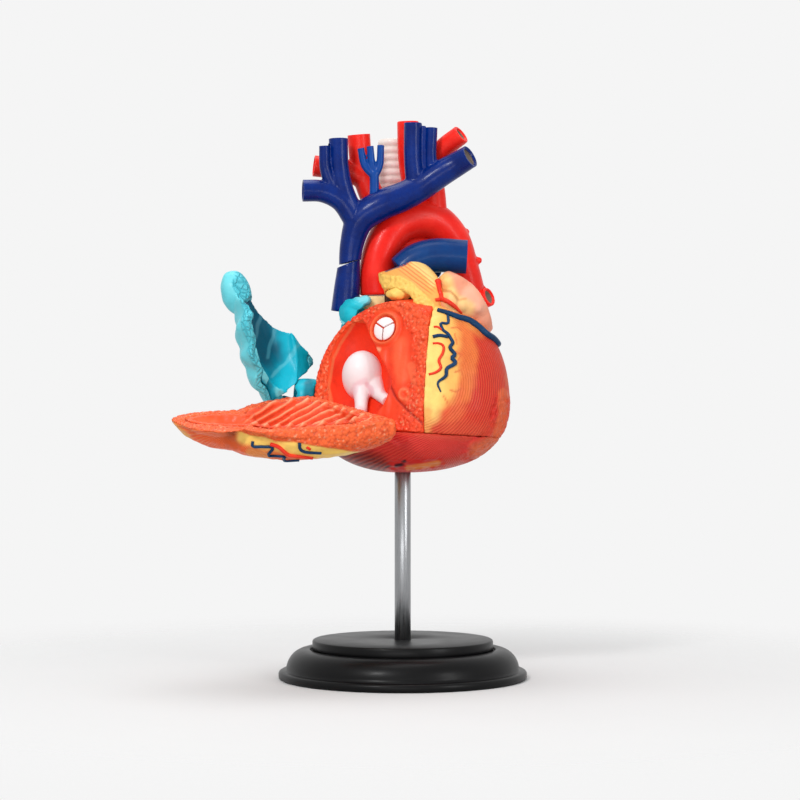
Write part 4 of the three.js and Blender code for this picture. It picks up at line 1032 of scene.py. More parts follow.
# %% The left wall
left_wall = trimmed(trimmed(ventricles(), GROOVE, side=-1), SEAM, side=-1)
left_wall.name = "left_wall"
evened(left_wall, 0.6, 2)
points = points_of(left_wall)
places = on_grid(points)
fat = smoothstep(26, 12, line_distance(places, [(428, 318), (440, 345), (441, 375), (432, 400)]))
veiny = smoothstep(13, 5, line_distance(places, [(501, 402), (499, 425), (488, 444)]))
front = smoothstep(10, -4, points[:, 1])
swell = fat * front * lumps(points, 3.2, 3) * 0.35
swell += veiny * front * (0.5 - np.abs(lumps(points, 2.2, 4)) * 2.2) * 0.8
press(left_wall, swell)
mark(left_wall, "fibres", (1 - fat * 0.9) * (1 - veiny * 0.6))
paint(left_wall, "#d8402a", [
    ([(446, 296), (462, 312), (484, 330)], 10, "#f2a04e", 0.85),
    ([(484, 352), (488, 380), (484, 408)], 19, "#cc221e", 0.95),
    ([(462, 330), (470, 352), (468, 372), (463, 396)], 8, "#ec7c3c", 0.85),
    ([(456, 392), (456, 408), (450, 424)], 9, "#e5663a", 0.7),
    ([(438, 300), (446, 322), (448, 345), (449, 372), (443, 396)], 11, "#f9bd62", 1.0),
    ([(428, 318), (434, 345), (434, 372), (430, 402), (426, 412)], 13, "#fbd87a", 1.0),
    ([(428, 412), (427, 430)], 5, "#f2a65a", 0.8),
    ([(440, 430), (462, 428), (485, 432)], 8, "#cf3a2a", 0.7),
    ([(504, 394), (503, 418), (495, 438)], 4.5, "#e06c40", 0.7),
    ([(510, 344), (512, 384)], 5, "#dd6a3a", 0.8),
])
ORANGE_SQUIGGLES = [
    [(452, 328), (458, 327), (461, 330)],
    [(455, 334), (457, 344)],
    [(456, 352), (462, 355), (458, 360)],
    [(455, 372), (461, 370), (463, 376)],
    [(450, 390), (456, 392), (461, 389)],
    [(444, 396), (448, 403)],
]
brush(left_wall, [(line, 0.9, "#d9683a", 0.75) for line in ORANGE_SQUIGGLES])
finished(left_wall, "heart", ["left_ventricle_wall"], [wall_fibres], "left_wall")

# %% The lower shell
lower_shell = trimmed(ventricles(), SEAM)
front_corner = trimmed(trimmed(ventricles(), SECTION), MARGIN, side=-1)
carved(lower_shell, front_corner, "UNION")
trimmed(lower_shell, MARGIN_BELOW, side=-1)
hinge_notch = trimmed(ventricles(8.0, 6), SECTION, distance=-WALL_GAP)
carved(lower_shell, trimmed(hinge_notch, MARGIN, distance=-WALL_GAP))
FRONT_HINGE = (HINGE_POINT, HINGE_AXIS)
hinged(lower_shell, FRONT_HINGE, ((-11.5, -8.3), (-1.7, 1.5)), BARREL_RADIUS, "UNION")
hinged(lower_shell, FRONT_HINGE, [(-8.3, -1.7)], BARREL_ROOM)
socket_end = ROD_TOP + ROD_ROOM
carved(lower_shell, bar("socket", (0, 0, 0), (0, 0, 1), 60, socket_end, ROD_RADIUS + ROD_ROOM))
evened(lower_shell, 0.6, 2)
lower_shell.name = "lower_shell"
points = points_of(lower_shell)
places = on_grid(points)
sole = smoothstep(8, 3, line_distance(places, [(395, 466), (440, 463)]))
end = smoothstep(22, 10, line_distance(places, [(490, 440), (478, 455)]))
swell = sole * lumps(points, 2.2, 5) * 0.7 + end * (0.4 - np.abs(lumps(points, 2.6, 6)) * 1.6) * 0.6
press(lower_shell, swell)
mark(lower_shell, "fibres", 1 - np.maximum(sole, end * 0.7))
paint(lower_shell, "#cc2a26", [
    # Painted shade: the near-black stroke at the lower left lies under the open front wall's edge.
    ([(330, 452), (352, 460), (376, 466)], 12, "#64090c", 0.97),
    ([(386, 436), (400, 440), (420, 446)], 8, "#c42426", 0.9),
    ([(420, 442), (445, 448), (470, 446)], 11, "#dc3430", 0.9),
    ([(400, 431), (430, 436), (470, 438)], 3, "#dc4a34", 0.6),
    ([(478, 452), (494, 442), (500, 437)], 9, "#d8683e", 0.85),
    ([(440, 466), (470, 458)], 5, "#c9442c", 0.6),
], wander=2.0)
brush(lower_shell, [
    ([(408, 468), (424, 466), (438, 463)], 2.6, "#e58f48", 0.75),
    ([(396, 465.5), (402, 465)], 1.7, "#16161e", 0.95),
    ([(403.4, 461.7), (405, 461.4)], 1.5, "#16161e", 0.95),
    ([(386, 467), (389, 466)], 1.3, "#16161e", 0.9),
])
finished(lower_shell, "heart", ["lower_ventricle_shell"], [shell_fibres])

# %% [markdown]
# ## The cut section
# This is the flat sawn face behind the open front wall. Its rim, the thickness of the muscle, is
# pebbled. Inside the rim it is smooth, with long soft folds, a raised ring round the valve of the
# lung artery, a knob where a chord takes hold, and the hollow that shows the tricuspid valve.

# %% Modelling the sawn face
VALVE_SEAT = np.array([-6.65, -6.06, 129.25])
FACE_UP = axes_along(SECTION_NORMAL, WORLD[2])[1]
FACE_ACROSS = axes_along(SECTION_NORMAL, WORLD[2])[2]


def slab(grow=0.0, border=SEAM_HALF):
    """The section's slab left of the septum's border, grown all round by a little."""
    made = trimmed(ventricles(grow), SECTION, side=-1, distance=SEAM_HALF - grow)
    trimmed(made, SECTION, distance=-SLAB - grow)
    trimmed(made, GROOVE, distance=SEAM_HALF - grow)
    trimmed(made, SEPTUM, distance=border)
    return trimmed(made, SEAM, side=-1, distance=SEAM_HALF - grow)


def on_face(piece):
    """1 where a point lies on the sawn face, 0 elsewhere."""
    points = points_of(piece)
    facing = normals_of(piece) @ SECTION_NORMAL
    return smoothstep(0.5, 0.8, facing) * smoothstep(-1.2, -0.6, height_over(SECTION, points))


SCORED_LINE = [
    (362, 324), (366, 328), (370, 340), (373, 353), (384, 374), (397, 399), (410, 412), (423, 424)]
RING_RADIUS = 5.7


def model_face(piece):
    """Press the sawn face's relief into a piece and paint it."""
    points = points_of(piece)
    places = on_grid(points)
    face = on_face(piece)
    rim = face * smoothstep(8.2, 5.4, depth_in_egg(points) + lumps(points, 4, 7) * 1.3)
    away = points - VALVE_SEAT
    ring_reach = np.hypot(away @ FACE_UP, away @ FACE_ACROSS)
    ring = np.exp(-((ring_reach - RING_RADIUS) / 0.55) ** 2) * 1.15
    ring -= np.exp(-((ring_reach - 7.3) / 0.6) ** 2) * 0.3
    well = smoothstep(RING_RADIUS - 0.2, RING_RADIUS - 0.9, ring_reach) * -0.5
    beyond_ring = smoothstep(6.6, 8.6, ring_reach)
    fold_places = np.stack([away @ FACE_ACROSS, away @ FACE_UP * 0.22, np.zeros(len(points))], 1)
    low = smoothstep(385, 400, places[:, 1])
    folds = lumps(fold_places, 2.4, 8) * 0.75 * (0.6 + low * 0.5)
    knob_reach = np.linalg.norm((places - np.array([405, 395])) / np.array([1.0, 1.25]), axis=1)
    knob = np.exp(-((knob_reach - 4.2) / 1.5) ** 2) * 0.9 + np.exp(-(knob_reach / 8) ** 2) * 0.6
    patch = smoothstep(5.5, 4, np.abs(places - np.array([376, 349])).sum(1)) * 0.7
    scored = smoothstep(1.7, 0.5, line_distance(places, SCORED_LINE)) * face * beyond_ring
    relief = face * (ring + well) + face * beyond_ring * (1 - rim) * (folds + knob + patch)
    relief += rim * beyond_ring * (0.3 + lumps(points, 1.15, 9) * 0.62) - scored * 0.5
    set_points(piece, points + SECTION_NORMAL * relief[:, None])
    mark(piece, "pebbles", rim * beyond_ring)
    paint(piece, "#f84a26", [
        ([(350, 330), (333, 365), (322, 400)], 10, "#fc5a2e", 0.9),
        ([(380, 305), (405, 305), (424, 325), (428, 360), (424, 400)], 9, "#ff6236", 0.9),
        # Painted highlight on a fold.
        ([(400, 345), (402, 375)], 8, "#ff6e44", 0.6),
        ([(388, 370), (392, 392)], 6, "#ec3c20", 0.7),
        ([(408, 405), (416, 425)], 8, "#f65634", 0.7),
        # Painted highlight on a fold.
        ([(412, 366), (414, 384)], 3, "#ff8456", 0.5),
        ([(374.5, 349), (377.5, 349)], 2.6, "#f59c74", 0.9),
    ])
    tint(piece, "#9c1a10", scored * 0.8)
    tint(piece, "#f2794c", face * np.exp(-((ring_reach - RING_RADIUS) / 0.5) ** 2) * 0.75)
    tint(piece, "#ea5028", smoothstep(RING_RADIUS - 0.3, RING_RADIUS - 0.8, ring_reach) * 0.9)
    tint(piece, "#f08050", face * np.exp(-((knob_reach - 4.2) / 1.4) ** 2) * 0.6)
    tint(piece, "#f7a77c", rim * beyond_ring * smoothstep(0.35, 0.6, lumps(points, 0.8, 13)) * 0.8)


print("valve seat", tuple(VALVE_SEAT))

# %% Septum and the back of the right ventricle
septum = trimmed(trimmed(trimmed(ventricles(), SECTION, side=-1), GROOVE), SEAM, side=-1)
carved(septum, slab(0.3, border=0.5))
evened(septum, 0.5, 1)
septum.name = "septum"
model_face(septum)
finished(septum, "heart", ["ventricular_septum"], [cut_muscle], "septum")

RECESS_AXES = axes_along((-0.03, 0.33, 0.94), SECTION_NORMAL)
RECESS = ((-16, -5.7, 113.4), RECESS_AXES, (20, 9, 14))
ventricle_back = carved(slab(border=-0.5), ellipsoid("recess", *RECESS, detail=6))
evened(ventricle_back, 0.45, 1)
ventricle_back.name = "ventricle_back"
model_face(ventricle_back)
# Painted shade: the recess turns a little darker and redder the deeper it lies.
depth = -height_over(SECTION, points_of(ventricle_back))
tint(ventricle_back, "#f43a1c", smoothstep(0.4, 2.0, depth))
brush(ventricle_back, [
    ([(366, 322), (356, 321), (340, 345), (334, 358), (329, 387), (332, 403)], 1.4, "#f0794a", 0.85)])
finished(ventricle_back, "heart", ["right_ventricle_back"], [cut_muscle])

# %% [markdown]
# ## Valves
# The tricuspid valve is a smooth white dome that runs out into two legs. The valve of the lung
# artery is three puffed white flaps. Both are white plastic with a faint pink mottle, and the
# pink in the tricuspid's folds is painted shade.

# %% White valves
valve_white = painted("valve white", 0.3)
base = valve_white.attribute("paint", "Color")
valve_white.colour(valve_white.mix(valve_white.noise(2.0, 3.0) * 0.2, base, rgb("#f3dfe2")))
valve_white.relief(valve_white.noise(1.6, 2.0), 0.1)

LEGS = [
    [(-15.5, 1, 109, 5), (-15.3, -3.2, 103.4, 2.7), (-15.4, -6.4, 98, 2.3)],
    [(-11, 0.5, 109, 4.6), (-8.4, -4.6, 105, 2.5), (-5.6, -9.4, 102.6, 2.1)],
]
valve_parts = [ellipsoid("dome", (-14.9, 1.6, 112), WORLD, (7.7, 6, 9.5))]
valve_parts += [tube("leg", smooth_line(leg), rims=SHUT) for leg in LEGS]
tricuspid = evened(joined("tricuspid", valve_parts), 0.35, 6)
# The pink strokes are painted shade in its creases and towards its bottom.
paint(tricuspid, "#f1ebec", [
    ([(352, 396), (356, 385), (366, 380)], 3, "#eccfd6", 0.7),
    ([(368, 384), (372, 395)], 2.5, "#e8bcc6", 0.8),
    ([(360, 408), (364, 411)], 3, "#efc9cc", 0.7),
    ([(384, 378), (384, 390)], 2, "#e9bfc4", 0.7),
])
finished(tricuspid, "heart", ["tricuspid_valve"], [valve_white])

CUSP_NAMES = ("front", "right", "left")
for i, cusp_name in enumerate(CUSP_NAMES):
    turn = 2 * np.pi * i / 3
    cusp = ellipsoid("cusp_" + cusp_name, VALVE_SEAT + SECTION_NORMAL * 0.2,
                     [SECTION_NORMAL, FACE_UP, FACE_ACROSS], (1.0, 4.5, 4.5))
    for lean in (np.pi / 6, -np.pi / 6):
        normal = FACE_UP * np.cos(turn + lean) + FACE_ACROSS * np.sin(turn + lean)
        trimmed(cusp, (normal, VALVE_SEAT), distance=0.3)
    evened(cusp, 0.18, 3)
    paint(cusp, "#fbf5f5", [])
    finished(cusp, "heart", ["pulmonary_cusp_" + cusp_name], [valve_white])

# %% [markdown]
# ## Outflow hump, fat and the root of the aorta
# Above the section the outflow tract swells up and back under the big vessels. It is yellow, with
# orange fibre strokes over its top. The sawn edge along its lower left is thick and lumpy, and a
# small lobe of fat sits in its mouth.

# %% Yellow fat
fat_paint = painted("fat", 0.36)
fat_base = fat_paint.attribute("paint", "Color")
strokes_run = fat_paint.vector("DOT_PRODUCT", fat_paint.place, (0.62, 0.0, 0.78))
streaks = (strokes_run * 5.2 + fat_paint.noise(5.0, 2.0) * 3.0).wave() ** 3.0
strokes = streaks * fat_paint.attribute("strokes")
fat_colour = fat_paint.mix(fat_paint.noise(1.6, 4.0).ramp(0.45, 0.8) * 0.22, fat_base, rgb("#e89b3c"))
fat_paint.colour(fat_paint.mix(strokes * 0.7, fat_colour, rgb("#e4572e")))
fat_paint.relief(
    (1 - fat_paint.cells(1.5) ** 1.5) * fat_paint.attribute("pebbles") * 1.4
    + fat_paint.noise(1.7, 3.0) * 0.7 + strokes * 0.3, 0.3)

# %% The outflow hump
CONUS_CENTRE = np.array([2.5, 2.5, 143])
CONUS_AXES = axes_along((-0.563, 0.549, 0.62), SECTION_NORMAL)


def conus(grow=0.0, toward=12.0):
    return ellipsoid("conus", CONUS_CENTRE, CONUS_AXES, (19, toward, 12), grow, 6)


hump = trimmed(conus(toward=7.9), SECTION, side=-1)
carved(hump, sight_prism([
    (350, 225), (413, 225), (412, 259.5), (405, 264), (388, 270.2), (379.4, 272.5), (380.4, 281),
    (384.5, 291.5), (385, 310), (350, 310)]))
carved(hump, sight_prism([
    (384, 310), (384.5, 292), (391, 289), (396, 288), (403, 290.5), (411, 295.5), (414, 301),
    (414, 310)], far=3))
hump.name = "outflow_hump"
evened(hump, 0.4, 3)
points = points_of(hump)
places = on_grid(points)
facing = normals_of(hump) @ np.array([-0.3, -0.85, 0.4])
sawn_edge = [(378, 280), (388, 282), (398, 283), (408, 288), (418, 297), (428, 307)]
bricks = smoothstep(8, 6, line_distance(places, sawn_edge)) * smoothstep(0, 0.3, facing)
press(hump, bricks * (0.35 + lumps(points, 1.3, 11) * 0.35))
over_top = smoothstep(12, 4, line_distance(places, [(406, 266), (416, 274), (428, 286)]))
mark(hump, "strokes", over_top * (1 - bricks))
mark(hump, "pebbles", bricks)
paint(hump, "#f6ae5a", [
    ([(404, 270), (414, 276), (422, 286)], 5, "#f5a860", 0.55),
    # Painted light along the hump's top.
    ([(416, 263), (428, 272), (434, 282)], 5, "#fbdc8c", 0.7),
], wander=1.5)
tint(hump, "#f8cf6a", bricks * 0.8)
# Painted shade: the back wall of the mouth is darkened nearly to black.
mouth = smoothstep(8, 5, line_distance(places, [(389, 299), (398, 296), (408, 303)]))
tint(hump, "#2a0e08", mouth * smoothstep(0.8, 2.2, points[:, 1]))
brush(hump, [([(386, 271), (405, 264.5), (411, 260)], 1.2, "#12386c", 0.9)])
finished(hump, "heart", ["conus_arteriosus"], [fat_paint], "hump")

# %% The lobe in its mouth and the collar
lobe = ellipsoid("mouth_lobe", (-1.5, -0.6, 142.4), WORLD, (4.8, 5.0, 2.4))
evened(lobe, 0.35, 2)
points = points_of(lobe)
press(lobe, lumps(points, 2.2, 12) * 0.5)
paint(lobe, "#fbd06c", [])
finished(lobe, "heart", ["conus_fat_pad"], [fat_paint])

collar = turned("collar", [
    (0, 128.2), (7.6, 128.2), (8, 128.8), (8, 141.2), (7.7, 141.9), (7, 142.2), (0, 142.2)], (-9.8, 15))
evened(collar, 0.45, 2)
# Painted light: the collar is painted paler than the rest of the fat, where the lobes and the hump
# shade it.
paint(collar, "#ffe9ac", [])
finished(collar, "heart", ["aortic_root"], [fat_paint])

# %% [markdown]
# ## Auricle and atria
# The left auricle is salmon pink, like a folded ear, with yellow lobes beside the hump. The right
# atrium is bright turquoise, its wall dented like small bricks where it was modelled by hand.

# %% Turquoise and salmon
salmon = painted("salmon", 0.34)
salmon.colour(salmon.mix(
    salmon.noise(5.0, 3.0).ramp(0.3, 0.8) * 0.3, salmon.attribute("paint", "Color"), rgb("#f4b49b")))
salmon.relief(salmon.noise(3.5, 2.0) + salmon.noise(0.8, 2.0) * 0.15, 0.3)

turquoise = painted("turquoise", 0.34)
dents = turquoise.cells(2.3, "DISTANCE_TO_EDGE").ramp(0.0, 0.22)
dented = turquoise.attribute("pebbles")
turquoise_base = turquoise.attribute("paint", "Color")
turquoise.colour(turquoise.mix((1 - dents) * dented * 0.5, turquoise_base, rgb("#1596ab")))
turquoise.relief(dents * dented * 0.8 + turquoise.noise(2.6, 3.0) * 0.5, 0.4)

# %% The left auricle and the chamber behind it
auricle = joined("auricle", [
    ellipsoid("part", middle, WORLD, halves) for middle, halves in (
        ((24, 2, 138.5), (10.5, 12, 9)), ((19, 1, 145), (6.5, 9, 6.5)),
        ((28, 3, 134), (7, 10, 7.5)), ((18.5, -2, 138), (7, 9, 7.5)))])
evened(auricle, 0.6, 2)
carved(auricle, sight_prism([
    (425, 240), (438, 274), (444.7, 270), (451.8, 272), (462, 277), (472, 283.5), (480.4, 293.5),
    (487.6, 306), (491.6, 318.5), (494.7, 335), (495, 350), (530, 350), (530, 240)]))
evened(auricle, 0.5, 10)
points = points_of(auricle)
places = on_grid(points)
lobed = smoothstep(24, 10, line_distance(places, [(440, 290), (452, 306), (462, 314)]))
knobs = sum(
    smoothstep(7, 1, np.linalg.norm(places - np.array(place), axis=1))
    for place in ((447, 283), (451.5, 299), (463, 306.5), (478, 308)))
swell = knobs * 0.9 + lobed * (lumps(points, 3.4, 14) * 0.7)
swell += (1 - lobed) * lumps(points, 6.0, 15) * 0.3
press(auricle, swell)
paint(auricle, "#ee9a7a", [
    ([(470, 296), (478, 306)], 8, "#f9b89c", 0.6),
    ([(492, 316), (496, 330)], 5, "#e98a6c", 0.6),
], wander=1.0)
brush(auricle, [
    ([(444, 280), (448, 292), (453, 303), (467, 308)], 8, "#fac97c", 1.0),
    ([(442, 290), (451, 291.5), (458, 300)], 1.3, "#c07a3c", 0.8),
    ([(456, 308), (458, 301), (466, 299)], 1.1, "#cc8a4c", 0.6),
], wander=1.0)
finished(auricle, "heart", ["left_auricle"], [salmon], "auricle")

back_chamber = ellipsoid("back_chamber", (7, 21, 128), WORLD, (19, 12.5, 13.5), detail=6)
points = points_of(back_chamber)
press(back_chamber, lumps(points, 7, 16) * 0.5)
paint(back_chamber, "#35b6c9", [])
finished(back_chamber, "heart", ["left_atrium"], [turquoise])

# %% The right atrium's fixed part
WALL_CORNER = np.array([-35, -0.8, 103])
WALL_UP = unit((0.321, 0.371, 0.871))
WALL_OUT = np.array([-0.942, 0.034, 0.333])
WALL_OUT = unit(WALL_OUT - WALL_UP * (WALL_OUT @ WALL_UP))
WALL_ACROSS = np.cross(WALL_OUT, WALL_UP)
WALL_MIDDLE = WALL_CORNER + WALL_UP * 20 + WALL_ACROSS * 8
WALL_PLANE = (WALL_OUT, WALL_CORNER)
ATRIUM_CENTRE = (-18.5, 17, 121)
ATRIUM_HALVES = (13.5, 15, 21)


def atrium_side(grow=0.0):
    """The round side of the right atrium, its rim scalloped."""
    def radius(directions):
        angle = np.arctan2(directions @ WALL_ACROSS, directions @ WALL_UP)
        wavy = 1 + 0.055 * np.cos(11 * angle) * (1 - (directions @ WALL_OUT) ** 2) ** 2
        axes = [WALL_UP, WALL_ACROSS, WALL_OUT]
        return ellipsoid_radius(directions, axes, (29, 20, 14.5)) * wavy + grow
    return star("atrium_side", WALL_MIDDLE, radius, 6)


atrium = evened(joined("atrium", [
    ellipsoid("part", ATRIUM_CENTRE, WORLD, ATRIUM_HALVES, detail=6), atrium_side()]), 0.5, 3)
trimmed(trimmed(atrium, WALL_PLANE, side=-1), SECTION, side=-1)
carved(atrium, atrium_side(-3.4))
room = ellipsoid("room", ATRIUM_CENTRE, WORLD, ATRIUM_HALVES, -3.4, 6)
carved(atrium, trimmed(room, WALL_PLANE, distance=-12))
carved(atrium, slab(0.3))
evened(atrium, 0.5, 1)
points = points_of(atrium)
swell = lumps(points, 3.0, 17) * 0.35
press(atrium, swell)
edge_mark = smoothstep(-3.4, -1.0, height_over(SECTION, points))
mark(atrium, "pebbles", 1 - edge_mark)
paint(atrium, "#12bfd2", [
    ([(332, 300), (345, 300), (352, 304)], 6, "#3fcfdc", 0.6),
    ([(318, 372), (322, 350)], 5, "#0fb3c8", 0.6)])
tint(atrium, "#86dbe4", edge_mark)
finished(atrium, "heart", ["right_atrium"], [turquoise])

# %% Its ear lobes
RIGHT_LOBES = (
    ((-20.5, 4.6, 136.6), (3.9, 4.2, 4.6)), ((-16.8, 4.4, 139), (2.8, 3.8, 2.6)),
    ((-13.9, 4.4, 140.2), (2.3, 3.6, 2)))


def right_lobes(grow=0.0):
    return joined("lobes", [
        ellipsoid("part", middle, WORLD, halves, grow, 5) for middle, halves in RIGHT_LOBES])


lobes = trimmed(evened(right_lobes(), 0.35, 6), SECTION, side=-1, distance=-0.15)
paint(lobes, "#20c3d6", [([(360, 299), (372, 296)], 6, "#86dce6", 0.9)], wander=1.0)
lobes.name = "ear_lobes"
finished(lobes, "heart", ["right_auricle"], [turquoise])

# %% The side wall's hinge, and the room that the front wall sweeps
SIDE_POINT = np.array([-45.4, 8.35, 100.3])
SIDE_AXIS = unit((0.3225, -0.7795, -0.537))
SIDE_HINGE = (SIDE_POINT, SIDE_AXIS)
SIDE_SWING = 52
SWING = [(0, -25.6), (8, -29.6), (26, -32.4)]


def swing_room(radius):
    """The room that the front wall's left end sweeps, spun about its hinge line."""
    profile = [stop for stop in SWING if stop[0] <= radius]
    profile += [(radius, profile[-1][1]), (radius, -12), (0, -12)]
    return stood(turned("swing", list(dict.fromkeys(profile)), sides=48), HINGE_POINT, HINGE_AXIS)


print("side hinge through", tuple(SIDE_POINT))

# %% [markdown]
# ## The open front wall
# The front wall is drawn shut, as the solids are, then turned open about its hinge line. It is a
# shell: a pebbled sawn face, a dark seam, and inside it a lining with slanting ridges of muscle.
# The outer edge that is seen from the front is grained like the sawn face. Outside it has a band
# of fat with small vessels, and below that orange fibres.

# %% The shell and its lining, shut
SWELLINGS = (
    ((-5.2, -0.9, 136.1), (-0.183, 0.449, 0.875), (24, 14.4, 13.3)),
    ((-7.8, -17, 111.4), (-0.024, 0.27, 0.963), (34, 9.9, 16.9)))
RING_ROOM = 6.5
FRONT_SWING = 121


def wall_form(inset, start=WALL_GAP):
    """The front wall's form, drawn shut and smaller all round by an inset."""
    made = ventricles(-inset, 6)
    for middle, axis, halves in SWELLINGS:
        swelling = ellipsoid("swelling", middle, axes_along(axis, SECTION_NORMAL), halves, -inset, 6)
        carved(made, swelling, "UNION")
    trimmed(made, GROOVE, distance=WALL_GAP + inset)
    trimmed(made, MARGIN, distance=WALL_GAP + inset)
    trimmed(made, MARGIN_ABOVE, side=-1, distance=WALL_GAP + inset)
    carved(made, conus(-inset), "UNION")
    return trimmed(made, SECTION, distance=start)


def ring_room():
    return bar("ring_room", VALVE_SEAT, SECTION_NORMAL, -2.1, 2.1, RING_ROOM)


def turned_about(piece, point, axis, degrees):
    turn = Matrix.Rotation(np.radians(degrees), 4, Vector(axis))
    middle = Matrix.Translation(Vector(point))
    piece.data.transform(middle @ turn @ middle.inverted())
    return piece


shell = carved(wall_form(0), wall_form(4, -1))
hinged(shell, FRONT_HINGE, [(-8, -2)], BARREL_RADIUS, "UNION")
hinged(shell, FRONT_HINGE, ((-11.8, -8), (-2, 1.8)), BARREL_ROOM)
hinged(shell, FRONT_HINGE, [(-11.3, 1.3)], PIN_ROOM)
carved(shell, tube("arch_room", ARCH, rims=SHUT))
carved(shell, ring_room())
evened(shell, 0.5, 2)
turned_about(shell, *FRONT_HINGE, FRONT_SWING)
shell.name = "front_wall_shell"

lining = carved(wall_form(4.6), wall_form(6.3, -1))
carved(lining, ring_room())
evened(lining, 0.45, 1)
turned_about(lining, *FRONT_HINGE, FRONT_SWING)
lining.name = "front_wall_lining"
print("front wall opened by", FRONT_SWING, "degrees")

# %% Pressing and painting the front wall
open_turn = Matrix.Rotation(np.radians(FRONT_SWING), 3, Vector(HINGE_AXIS))
OPEN_FACE = np.array(open_turn @ Vector(-SECTION_NORMAL))
points = points_of(shell)
normals = normals_of(shell)
sawn_face = smoothstep(0.55, 0.85, normals @ OPEN_FACE)
swell = sawn_face * lumps(points, 1.2, 21) * 0.5 + (1 - sawn_face) * lumps(points, 3.0, 22) * 0.35
press(shell, swell)
places = on_grid(points)
band = line_distance(
    places, [(244, 437), (255, 440), (268, 443), (294, 448), (330, 454), (356, 456)])
edge_foot = np.interp(
    places[:, 0], [236, 251, 267, 276, 294, 310.5, 352.5, 366, 379, 393, 400],
    [430, 434.7, 437, 441, 441.4, 444.7, 451, 452.5, 451, 447, 443])
outer_edge = smoothstep(1, -0.5, places[:, 1] - edge_foot) * smoothstep(234, 240, places[:, 0])
grain = np.maximum(sawn_face, outer_edge)
mark(shell, "pebbles", grain)
mark(shell, "fibres", (1 - grain) * (1 - smoothstep(9, 5, band) * 0.8))
paint(shell, "#f0602f", [
    ([(172, 426), (178, 433), (189, 441), (201, 446)], 4.5, "#f2b24e", 0.95),
    ([(200, 442), (225, 448), (240, 456)], 9, "#ff5a1e", 0.95),
    ([(244, 437), (255, 440), (268, 443), (294, 448), (330, 454), (362, 455)], 7, "#fbcf6a", 1.0),
    ([(250, 452), (267, 456)], 4, "#f0a24a", 0.6),
    ([(290, 398.5), (298, 401), (312, 408), (328, 411)], 2.4, "#f1ae54", 0.95),
], wander=1.5)
tint(shell, "#fb6a36", grain)
tint(shell, "#fab28a", grain * smoothstep(0.3, 0.6, lumps(points, 0.8, 25)) * 0.8)
tint(shell, "#c43416", grain * smoothstep(0.3, 0.6, lumps(points, 0.9, 26)) * 0.6)
brush(shell, [([(182, 439.6), (184, 439.6)], 1.8, "#123a80", 1.0)])
finished(shell, "front_wall", ["right_ventricle_wall"], [outer_fibres], "shell")

points = points_of(lining)
normals = normals_of(lining)
places = on_grid(points)
facing = np.clip(normals @ OPEN_FACE, 0, 1)
run = (places[:, 0] * 0.5 + places[:, 1] * 0.86) / 6.8 + lumps(points, 9, 23) * 0.4
ridge = (0.5 + 0.5 * np.sin(2 * np.pi * run)) ** 2.2
ridged = smoothstep(238, 262, places[:, 0])
knobs = smoothstep(330, 350, places[:, 0]) * smoothstep(412, 422, places[:, 1])
swell = ridge * ridged * 1.1 * smoothstep(0.2, 0.6, facing) + lumps(points, 2.2, 24) * 0.25
swell += knobs * lumps(points, 1.7, 27) * 0.9
press(lining, swell)
# The lighter stroke on the lip at the near left is a painted highlight.
paint(lining, "#f25a2e", [([(190, 418), (215, 424)], 4, "#f2683c", 0.7)])
tint(lining, "#d8391c", (1 - ridge) ** 4 * ridged * 0.6)
tint(lining, "#ffb084", ridge ** 3 * ridged * 0.95)
tint(lining, "#f58660", knobs * smoothstep(0.1, 0.5, lumps(points, 1.7, 27)) * 0.7)
finished(lining, "front_wall", ["right_ventricle_lining"], [cut_muscle])

# %% [markdown]
# ## The open side wall
# The side wall of the right atrium is made the same way: drawn shut, cleared of everything that it
# swings past, and turned open. Outside it is pale and scalloped, its sawn edge is dented like
# bricks, and the skin inside is dark at the top and bright at the bottom, painted shade and light.
# Its sawn faces at the foot, which face down, are painted dark as shade.

# %% The side wall and its lining
def side_plane(normal, at):
    facing = unit(WALL_UP * normal[0] + WALL_ACROSS * normal[1])
    return (facing, WALL_CORNER + WALL_UP * at[0] + WALL_ACROSS * at[1])


WALL_AXES = [WALL_UP, WALL_ACROSS, WALL_OUT]
FAR_SIDE = side_plane((0.68, 0.73), (12, 28.3))
FOOT_SIDE = side_plane((-0.92, 0.39), (12, 28.3))


def side_form(inset, start=WALL_GAP):
    """The side wall's form, drawn shut. A start below 0 carries a hollow out through the cuts."""
    made = atrium_side(-inset)
    trimmed(made, FAR_SIDE, side=-1, distance=start)
    trimmed(made, FOOT_SIDE, side=-1, distance=start)
    middle = WALL_CORNER + WALL_UP * 43 + WALL_ACROSS + WALL_OUT * 9.5
    top_lobe = ellipsoid("lobe", middle, WALL_AXES, (8.5, 6, 5.5), -inset)
    return trimmed(carved(made, top_lobe, "UNION"), WALL_PLANE, distance=start)


def arm(grow=0.0):
    """The round arm from the hinge's barrel to the side wall, drawn shut."""
    end = WALL_CORNER + WALL_UP * 4.7 + WALL_ACROSS * 4.2 + WALL_OUT * 7
    return bar("arm", SIDE_POINT, end - SIDE_POINT, 0, np.linalg.norm(end - SIDE_POINT), 2.2 + grow)


def cleared(piece):
    """Cut away what the side wall would meet as it swings, shut and then open."""
    carved(piece, wall_form(-0.3))
    carved(piece, ventricles(0.3, 6))
    carved(piece, tube("cava_room", smooth_line([
        (-19.8, 10.2, 160, 5.5), (-20.4, 10.6, 152, 5.6), (-20.9, 11.2, 146, 5.8),
        (-21.2, 12, 140, 6)]), rims=SHUT, longer=(2.6, 2.6)))
    carved(piece, evened(right_lobes(0.8), 0.5, 1))
    carved(piece, swing_room(8))
    turned_about(piece, *SIDE_HINGE, SIDE_SWING)
    return carved(piece, swing_room(26))


